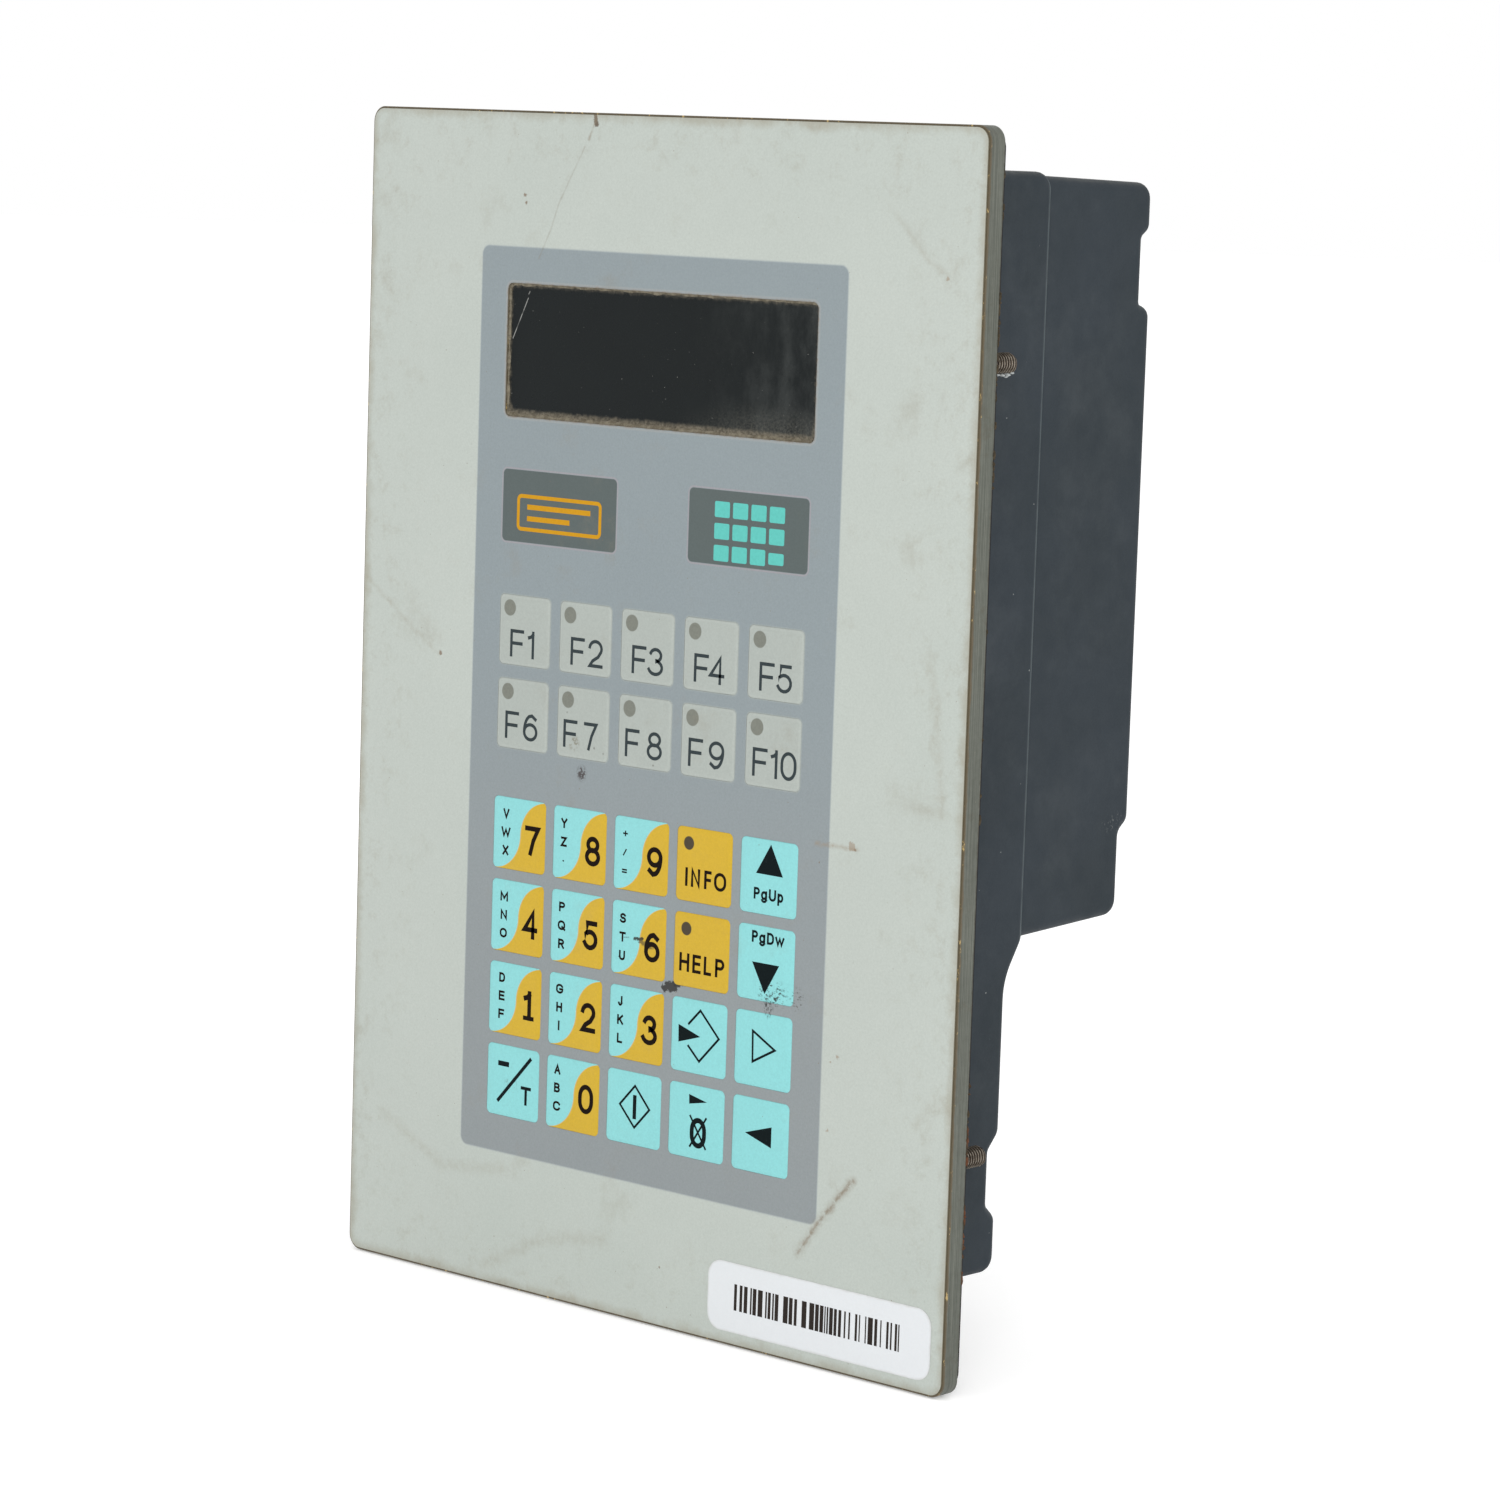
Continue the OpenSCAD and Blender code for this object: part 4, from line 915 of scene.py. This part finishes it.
def words_small(bm, at, word, left, top):
    """The small word of a page key."""
    sizes = {"P": 1.55, "g": 1.7, "U": 1.85, "p": 1.6, "D": 1.8, "w": 2.3}
    x = at[0] + left
    for c in word:
        letter(bm, c, x, at[1] + top, sizes[c], 2.25, 0.46)
        x += sizes[c] + 0.28


def solid(bm, at, points):
    """A filled shape on a key."""
    prism(bm, shift(points, at), KEY_FRONT - INK_T, KEY_FRONT + INK_SUNK)


def drawn(bm, at, points, width, closed=False, lift=0.0):
    """A line on a key, which may stand a little prouder to cross another."""
    stroke(bm, shift(points, at), width, KEY_FRONT - INK_T - lift, KEY_FRONT + INK_SUNK, closed)


def legend_symbol(bm, at, name):
    """The sign on a blue-green key."""
    if name == "key_page_up":
        solid(bm, at, [(0.5, 6.3), (-3.05, 0.55), (3.7, 0.5)])
        words_small(bm, at, "PgUp", -3.5, -2.1)
    elif name == "key_page_down":
        solid(bm, at, [(-3.3, 0.15), (0.05, -5.6), (3.5, 0.15)])
        words_small(bm, at, "PgDw", -3.6, 6.1)
    elif name == "key_recall":
        drawn(bm, at, [(-2.65, 2.2), (0.4, 5.25), (5.3, 0.5), (0.4, -4.55), (-2.65, -1.8)], 0.46)
        solid(bm, at, [(-5.15, 1.9), (-5.05, -1.5), (0.55, 0.2)])
    elif name == "key_right":
        drawn(bm, at, [(-2.55, 3.45), (-2.4, -2.4), (3.1, 0.5)], 0.46, True)
    elif name == "key_left":
        solid(bm, at, [(-3.7, 0.25), (2.95, 2.25), (2.95, -1.75)])
    elif name == "key_clear":
        solid(bm, at, [(-1.85, 5.25), (-1.75, 3.4), (2.8, 4.3)])
        letter(bm, "0", at[0] - 1.4, at[1] + 1.0, 4.2, 5.9, 1.0)
        drawn(bm, at, [(-1.5, 1.25), (2.8, -4.85)], 0.42, lift=0.003)
        drawn(bm, at, [(2.8, 1.3), (-1.4, -4.9)], 0.42, lift=0.005)
    elif name == "key_sign":
        drawn(bm, at, [(-4.0, 3.35), (-1.0, 3.35)], 1.0)
        drawn(bm, at, [(-4.0, -4.3), (5.05, 5.45)], 0.74)
        letter(bm, "T", at[0] + 2.4, at[1] - 0.35, 2.8, 3.7, 0.66)
    elif name == "key_start":
        drawn(bm, at, [(0.4, 4.55), (4.3, 0.45), (0.45, -3.6), (-3.5, 0.45)], 0.46, True)
        drawn(bm, at, [(0.4, 2.75), (0.4, -1.95)], 0.92)


def rounded_box(hw, hh, r, steps=6):
    """Outline of a rounded box round the origin, going round once."""
    pts = []
    for sx, sz, start in ((1, 1, 0), (-1, 1, 90), (-1, -1, 180), (1, -1, 270)):
        pts += arc(sx * (hw - r), sz * (hh - r), r, r, start, start + 90, steps)
    return pts


def key_pad(name, at, size, material):
    """A key as an embossed area of the film: a flat face with a soft raised edge."""
    bm = bmesh.new()
    rings = []
    for inset, y in (
        (-0.1, -4.0), (-0.1, -4.21), (-0.04, -4.256), (0.15, -4.3),
        (0.4, -4.36), (0.7, -4.41), (1.0, -4.438), (1.3, KEY_FRONT),
    ):
        half = size / 2 - inset
        outline = rounded_box(half, half, max(KEY_R - inset * 0.6, 0.3), 7)
        rings.append([bm.verts.new((at[0] + x, y, at[1] + z)) for x, z in outline])
    bridge(bm, rings, caps=True)
    return piece(name + "_film", bm, MATERIALS[material], name, True, name)


def build_keys():
    """Every key's pad and its print, both riding on the key's own body."""
    numbers = [
        ["key_7", "key_8", "key_9", "key_info", "key_page_up"],
        ["key_4", "key_5", "key_6", "key_help", "key_page_down"],
        ["key_1", "key_2", "key_3", "key_recall", "key_right"],
        ["key_sign", "key_0", "key_start", "key_clear", "key_left"],
    ]
    letters = {
        "7": "VWX", "8": "YZ.", "9": "+/=", "4": "MNO", "5": "PQR",
        "6": "STU", "1": "DEF", "2": "GHI", "3": "JKL", "0": "ABC",
    }
    for i in range(10):
        name, at = f"key_f{i + 1}", (COLUMNS[i % 5], F_ROWS[i // 5])
        key_pad(name, at, F_KEY, "key_film_grey")
        bm = bmesh.new()
        legend_f(bm, at, i + 1)
        piece(name + "_print", bm, INK_GREY, name)
    for r, names in enumerate(numbers):
        for c, name in enumerate(names):
            at, tail = (COLUMNS[c], NUM_ROWS[r]), name.split("_")[1]
            bm = bmesh.new()
            if tail in letters:
                slot = "key_film_number"
                legend_number(bm, at, r, tail, letters[tail])
            elif tail in ("info", "help"):
                slot = "key_film_amber"
                legend_words(bm, at, tail.upper())
            else:
                slot = "key_film_aqua"
                legend_symbol(bm, at, name)
            key_pad(name, at, NUM_KEY, slot)
            tone = INK_DARK if slot == "key_film_aqua" else INK_BLACK
            piece(name + "_print", bm, tone, name)


def build_badges():
    """Plain signs on the two dark plates: a screen with lines of text, and a block of keys."""
    front, back = FACE - 0.01, FACE + 0.004
    bm = bmesh.new()
    cx, cz = BADGES[0][0], BADGES[0][1] - 1.2
    stroke(bm, shift(rounded_box(11.0, 3.2, 0.8), (cx, cz)), 0.75, front, back, True)
    for z, length in ((1.15, 17.0), (-1.1, 11.5)):
        stroke(bm, [(cx - 8.6, cz + z), (cx - 8.6 + length, cz + z)], 1.0, front, back)
    piece("screen_sign", bm, INK_AMBER)
    bm = bmesh.new()
    cx, cz = BADGES[1][0] + 0.3, BADGES[1][1] - 0.6
    for i in range(4):
        for j in range(3):
            half = 1.5 if (i, j) != (3, 0) else 1.1
            box = rounded_box(1.9, half, 0.35)
            prism(bm, shift(box, (cx - 6.9 + i * 4.6, cz - 4.2 + j * 4.1)), front, back)
    piece("keypad_sign", bm, INK_AQUA)


def build_bars():
    """A plain pattern of bars with no meaning, on the label."""
    rng = random.Random(11)
    bm = bmesh.new()
    x, right, low, high, front = 27.3, 69.2, -108.5, -103.4, FACE - 0.08
    while x < right - 0.6:
        w = min(rng.choice((0.3, 0.4, 0.55, 0.7, 0.9, 1.2)), right - x)
        bar = [(x, low), (x + w, low), (x + w, high), (x, high)]
        prism(bm, bar, front - 0.008, front + 0.01)
        x += w + rng.choice((0.25, 0.25, 0.4, 0.4, 0.7, 1.2))
    piece("label_bars", bm, INK_BAR)


def build_studs():
    """M4 studs with their real helical thread."""
    pitch, outer, root, length = 0.7, 1.98, 1.52, 11.3
    sides, rows = 40, int(length / pitch * 8)
    bm = bmesh.new()
    for sx in (-STUD, STUD):
        for sz in (-STUD, STUD):
            grid = []
            for j in range(rows + 1):
                y = length * j / rows
                ends = min(1.0, (length - y) / 0.6)
                line = []
                for i in range(sides):
                    phase = (y / pitch - i / sides) % 1.0
                    tooth = min(1.0, max(0.0, 1.15 - abs(phase - 0.5) * 3.2))
                    r = root + (outer - root) * tooth * ends - 0.12 * (1 - ends)
                    a = 2 * math.pi * i / sides
                    line.append(bm.verts.new((sx + r * math.cos(a), y, sz + r * math.sin(a))))
                grid.append(line)
            bridge(bm, grid, caps=True)
    steel = MATERIALS["zinc_steel"]
    piece("threaded_studs", bm, steel, stands_for="mounting_studs")


def lump(bm, centre, size, seed):
    """A small ragged crumb."""
    for v in bmesh.ops.create_icosphere(bm, subdivisions=2, radius=1.0)["verts"]:
        k = 1 + 0.55 * noise.noise(v.co * 1.3 + Vector((seed, seed * 0.7, 0.0)))
        v.co = Vector([c * span * k + middle for c, span, middle in zip(v.co, size, centre)])


def build_crumbs():
    """Dried dirt left along the rear arris of the plate, most of it near the studs."""
    rng = random.Random(5)
    bm = bmesh.new()
    for low, high, count in ((50, 86, 30), (-94, -56, 32), (96, 108, 3), (-50, 45, 4)):
        for _ in range(count):
            z = rng.uniform(low, high)
            size = (rng.uniform(0.12, 0.4), rng.uniform(0.15, 0.45), rng.uniform(0.2, 1.0))
            lump(bm, (78.95 - size[0] * 0.3, 0.1 + size[1] * 0.5, z), size, rng.uniform(0, 90))
    piece("edge_crumbs", bm, CRUMBS, smooth=True)
    bm = bmesh.new()
    for y, z, s in (
        (8.0, 70.9, 0.5), (9.4, 71.0, 0.55), (10.6, 71.3, 0.45),
        (6.6, 71.0, 0.4), (10.9, 72.2, 0.35), (9.0, 70.6, 0.35),
    ):
        lump(bm, (73.9, y, z), (s, s * 1.3, s * 0.55), y * 3.1 + z)
    piece("stud_residue", bm, RESIDUE, smooth=True)


def build_window_grime():
    """A ragged bead of dirt packed where the pane meets the edge of its opening."""
    rng = random.Random(3)
    cx, cz, hw, hh, r = WINDOW
    path = shift(rounded_box(hw, hh, r, 8), (cx, cz))
    dense = []
    for (ax, az), (bx, bz) in zip(path, path[1:] + path[:1]):
        n = max(1, int(math.hypot(bx - ax, bz - az) / 0.8))
        dense += [(ax + (bx - ax) * i / n, az + (bz - az) * i / n) for i in range(n)]
    bm = bmesh.new()
    rows = []
    for x, z in dense:
        n = noise.noise(Vector((x * 0.35, z * 0.35, 2.0))) + 0.5 * noise.noise(Vector((x, z, 7.0)))
        near_x, near_z = abs(x - cx) > hw - 0.6, abs(z - cz) > hh - 0.6
        inward = Vector((cx - x if near_x else 0.0, cz - z if near_z else 0.0))
        if inward.length < 1e-6:
            inward = Vector((cx - x, cz - z))
        inward.normalize()
        w = max(0.12, 0.42 + 0.35 * n + (0.2 if z < cz - hh + 1 else 0.0)) * rng.uniform(0.85, 1.15)
        h = min(0.6, w * 0.8)
        profile = [(-0.03, 0.03), (-0.03, -h), (w * 0.35, -h * 0.42), (w, -0.02), (w, 0.03)]
        rows.append([bm.verts.new((x + inward.x * s, PANE_Y + y, z + inward.y * s)) for s, y in profile])
    bridge(bm, rows + rows[:1])
    m = Mat("window_dirt")
    colour = m.mix(m.ramp(m.noise(0.8, 4.0, 0.7), 0.35, 0.65), srgb(146, 138, 120), srgb(108, 100, 84))
    colour = m.vary(colour, 0.2, 2.4, 3.0, 0.7)
    m.relief(m.noise(2.0, 4.0, 0.7), 0.08)
    piece("window_grime", bm, m.finish(colour, 0.85, 0.0, 0.2), smooth=True)


# The housing: its wall, the radius of its ends and of its screw holes, half the widths of tray and
# box, where its steps are in Y and Z, and each side outline as corners in Y and Z with a radius
WALL, END_R, HOLE_R = 2.5, 2.0, 1.7
TRAY_X, BOX_X = 67.9, 66.9
TRAY_TOP, TRAY_BOTTOM, TRAY_REAR = 107.4, -97.9, 28.6
BOX_TOP, BOX_REAR = 106.65, 60.6
FIELD_Z, CONNECTOR_Y = -32.6, 40.0
SCREW_X, UPPER_Z, UPPER_BAND, LOWER_Z, LOWER_BAND = 61.2, 90.0, 57.5, -79.3, 21.1
# Each socket's centre in X, the width of its opening, and how far apart its screws are
SOCKETS = ((19.5, 17.1, 25.0), (-25.0, 39.1, 47.1))
TRAY_SIDE = [
    (-6.0, TRAY_TOP, 0.0), (TRAY_REAR, TRAY_TOP, 3.5), (TRAY_REAR, -35.1, 4.0), (23.95, -42.6, 12.0),
    (23.95, -71.4, 3.0), (LOWER_BAND, -74.6, 1.2), (LOWER_BAND, -84.8, 1.2), (23.7, -87.2, 2.4),
    (23.7, TRAY_BOTTOM, 3.2), (-6.0, TRAY_BOTTOM, 0.0),
]
BOX_SIDE = [
    (TRAY_REAR - 10, BOX_TOP, 0.0), (TRAY_REAR, BOX_TOP, 0.0), (59.8, BOX_TOP - 0.9, 3.2), (59.8, 97.0, 2.4),
    (UPPER_BAND, 95.4, 0.8), (UPPER_BAND, 83.2, 0.6), (BOX_REAR, 82.2, 2.4), (BOX_REAR, -15.4, 2.6),
    (57.95, -17.6, 2.0), (57.95, -33.4, 3.2), (TRAY_REAR, -35.1, 0.0), (TRAY_REAR - 10, -35.1, 0.0),
]


def rounded_path(corners, steps=7):
    """A closed outline whose corners are rounded to the radius that each one gives."""
    out = []
    for i, (y, z, r) in enumerate(corners):
        p = Vector((y, z))
        if r == 0.0:
            out.append(p)
            continue
        before, after = corners[i - 1], corners[(i + 1) % len(corners)]
        u = (Vector(before[:2]) - p).normalized()
        v = (Vector(after[:2]) - p).normalized()
        half = math.acos(max(-1.0, min(1.0, u.dot(v)))) / 2
        middle = p + (u + v).normalized() * (r / math.sin(half))
        a = p + u * (r / math.tan(half)) - middle
        b = p + v * (r / math.tan(half)) - middle
        sweep = math.pi - 2 * half
        for k in range(steps + 1):
            t = sweep * k / steps
            out.append(middle + (a * math.sin(sweep - t) + b * math.sin(t)) / math.sin(sweep))
    return out


def moulded_bar(path, half, r, steps=6):
    """A bar along X with that side outline, and its two ends rounded to radius r."""
    n = len(path)
    area = sum(path[i].x * path[(i + 1) % n].y - path[(i + 1) % n].x * path[i].y for i in range(n))
    turn = 1.0 if area > 0 else -1.0
    inward = []
    for i in range(n):
        d1 = (path[i] - path[i - 1]).normalized()
        d2 = (path[(i + 1) % n] - path[i]).normalized()
        n1 = Vector((-d1.y, d1.x)) * turn
        n2 = Vector((-d2.y, d2.x)) * turn
        mitre = (n1 + n2).normalized()
        inward.append(mitre / max(mitre.dot(n1), 0.3))
    bm = bmesh.new()
    rings = []
    turns = [math.pi / 2 * k / steps for k in range(steps + 1)]
    ends = [(half - r + r * math.sin(t), r * (1 - math.cos(t))) for t in turns]
    for x, offset in [(-x, o) for x, o in reversed(ends)] + ends:
        shape = [p + w * offset for p, w in zip(path, inward)]
        rings.append([bm.verts.new((x, q.x, q.y)) for q in shape])
    bridge(bm, rings, caps=True)
    return bm


def add_block(bm, x, y, z):
    """A block between the two ends given on each axis."""
    made = bmesh.ops.create_cube(bm, size=1.0)["verts"]
    for v in made:
        v.co = Vector([lo + (c + 0.5) * (hi - lo) for c, (lo, hi) in zip(v.co, (x, y, z))])


def add_rod(bm, centre, r, depth, along_y):
    """A round rod along Y or Z, for a screw's hole."""
    rings = []
    for t in (-depth / 2, depth / 2):
        circle = [(u, t, v) if along_y else (u, v, t) for u, v in arc(0.0, 0.0, r, r, 0, 360, 24)[:-1]]
        rings.append([bm.verts.new(Vector(centre) + Vector(c)) for c in circle])
    bridge(bm, rings, caps=True)


def scratch_object(name, bm):
    """A plain object from a bmesh, with its normals set outward."""
    bmesh.ops.recalc_face_normals(bm, faces=bm.faces)
    mesh = bpy.data.meshes.new(name)
    bm.to_mesh(mesh)
    bm.free()
    obj = bpy.data.objects.new(name, mesh)
    bpy.context.scene.collection.objects.link(obj)
    return obj


def cut(obj, bm, operation="DIFFERENCE"):
    """Applies a boolean to the object and clears its tool away."""
    tool = scratch_object("tool", bm)
    mod = obj.modifiers.new("cut", "BOOLEAN")
    mod.operation, mod.object, mod.solver = operation, tool, "MANIFOLD"
    graph = bpy.context.evaluated_depsgraph_get()
    mesh = bpy.data.meshes.new_from_object(obj.evaluated_get(graph))
    obj.modifiers.clear()
    obj.data = mesh
    bpy.data.objects.remove(tool)


def build_housing():
    """Tray and box as one hollow moulding, open to the front, with its sockets, screw holes and slots."""
    obj = scratch_object("housing_body", moulded_bar(rounded_path(TRAY_SIDE), TRAY_X, END_R))
    cut(obj, moulded_bar(rounded_path(BOX_SIDE), BOX_X, END_R), "UNION")
    bm = bmesh.new()
    add_block(bm, (-90, 90), (-20, 0), (-120, 120))
    cut(obj, bm)
    tray_in, box_in, floor_top = TRAY_X - WALL, BOX_X - WALL, FIELD_Z + WALL
    for x, y, z in (
        (tray_in, (-1, TRAY_REAR - WALL), (floor_top, TRAY_TOP - WALL)),
        (tray_in, (-1, LOWER_BAND - WALL), (TRAY_BOTTOM + WALL, floor_top + 0.5)),
        (tray_in - 0.01, (-1, 23.95 - WALL), (-68.9, floor_top + 0.4)),
        (box_in, (TRAY_REAR - WALL - 0.5, UPPER_BAND - WALL), (floor_top + 0.01, BOX_TOP - 1 - WALL)),
        (box_in - 0.01, (TRAY_REAR - WALL - 0.4, BOX_REAR - WALL), (-12.5, 79.7)),
    ):
        bm = bmesh.new()
        add_block(bm, (-x, x), y, z)
        cut(obj, bm)
    bm = bmesh.new()
    add_block(bm, (-62, 62), (TRAY_REAR - WALL + 0.01, 54.2), (FIELD_Z, floor_top))
    cut(obj, bm, "UNION")
    bm = bmesh.new()
    add_block(bm, (-56, 56), (32, 48), (-40, FIELD_Z))
    cut(obj, bm)
    bm = bmesh.new()
    for x, width, screws in SOCKETS:
        a, b, r = width / 2, 4.35, 2.0
        shape = rounded_path([(-a, -b, r), (a, -b, r), (a - 1.4, b, r), (1.4 - a, b, r)])
        rings = []
        for z in (FIELD_Z - 0.5, floor_top + 0.5):
            rings.append([bm.verts.new((x + p.x, CONNECTOR_Y + p.y, z)) for p in shape])
        bridge(bm, rings, caps=True)
        for side in (-1, 1):
            hole = (x + side * screws / 2, CONNECTOR_Y, FIELD_Z + WALL / 2)
            add_rod(bm, hole, HOLE_R, WALL + 1, False)
    add_block(bm, (38.0, 54.0), (33.4, 44.8), (-40, floor_top + 0.5))
    for side in (-1, 1):
        add_rod(bm, (side * SCREW_X, UPPER_BAND - 1.5, UPPER_Z), HOLE_R, 6, True)
        add_rod(bm, (side * SCREW_X, LOWER_BAND - 1.5, LOWER_Z), HOLE_R, 6, True)
        for i in range(6):
            x = side * (16 + 6 * i)
            add_block(bm, (x - 1, x + 1), (50.0, 52.4), (FIELD_Z - 6, FIELD_Z + 6))
    cut(obj, bm)
    bm = bmesh.new()
    bm.from_mesh(obj.data)
    bmesh.ops.triangulate(bm, faces=[f for f in bm.faces if len(f.verts) > 4])
    bm.to_mesh(obj.data)
    bm.free()
    mesh = obj.data
    mesh.transform(Matrix.Scale(MM, 4))
    mesh.polygons.foreach_set("use_smooth", [True] * len(mesh.polygons))
    mesh.set_sharp_from_angle(angle=math.radians(32))
    weighted = obj.modifiers.new("even_normals", "WEIGHTED_NORMAL")
    weighted.keep_sharp, weighted.mode = True, "FACE_AREA"
    mesh.materials.clear()
    mesh.materials.append(MATERIALS["housing_plastic"])
    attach(obj, "panel")
    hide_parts("rear_housing")


build_housing()
build_keys()
build_badges()
build_bars()
build_studs()
build_crumbs()
build_window_grime()

# ---------------------------------------------------------------- studio

FLOOR_R, FLOOR_Z = 9.0, CAD_BOX[0][2] - 0.0003
rim = [(x, y, FLOOR_Z) for x, y in arc(0.0, 0.0, FLOOR_R, FLOOR_R, 0, 360, 96)[:-1]]
mesh = bpy.data.meshes.new("studio_floor")
mesh.from_pydata(rim, [], [tuple(range(len(rim)))])
floor = bpy.data.objects.new("studio_floor", mesh)
bpy.context.scene.collection.objects.link(floor)
paper = Mat("studio_paper")
paper.shader.inputs["Emission Color"].default_value = (1.0, 1.0, 1.0, 1.0)
paper.shader.inputs["Emission Strength"].default_value = 0.3
white = paper.vary((0.86, 0.86, 0.86, 1.0), 0.01, 0.01)
floor.data.materials.append(paper.finish(white, 0.9, 0.0, 0.1, 1.0))

world = bpy.data.worlds.new("studio")
bpy.context.scene.world = world
world.use_nodes = True
world.node_tree.nodes["Background"].inputs["Color"].default_value = (1.0, 1.0, 1.0, 1.0)
world.node_tree.nodes["Background"].inputs["Strength"].default_value = 1.0


def soft_light(name, place, size, power):
    """A square area light that looks at the origin."""
    data = bpy.data.lights.new(name, "AREA")
    data.shape, data.size, data.energy = "SQUARE", size, power
    data.color = (1.0, 0.995, 0.985)
    obj = bpy.data.objects.new(name, data)
    obj.location = place
    obj.rotation_euler = (-Vector(place)).to_track_quat("-Z", "Y").to_euler()
    bpy.context.scene.collection.objects.link(obj)


soft_light("key_light", (0.75, -0.75, 0.45), 0.6, 3.4)
soft_light("side_light", (1.8, 0.5, 1.0), 0.9, 4.0)

lens = bpy.data.cameras.new("camera")
lens.lens, lens.sensor_width = 116.2, 36.0
lens.clip_start, lens.clip_end = 0.05, 50.0
camera = bpy.data.objects.new("camera", lens)
camera.location = (0.6261, -0.6707, 0.1143)
camera.rotation_euler = [math.radians(v) for v in (82.634, -1.856, 42.206)]
bpy.context.scene.collection.objects.link(camera)
bpy.context.scene.camera = camera
bpy.context.scene.view_settings.view_transform = "Standard"
bpy.context.scene.view_settings.look = "None"

bpy.context.view_layer.update()
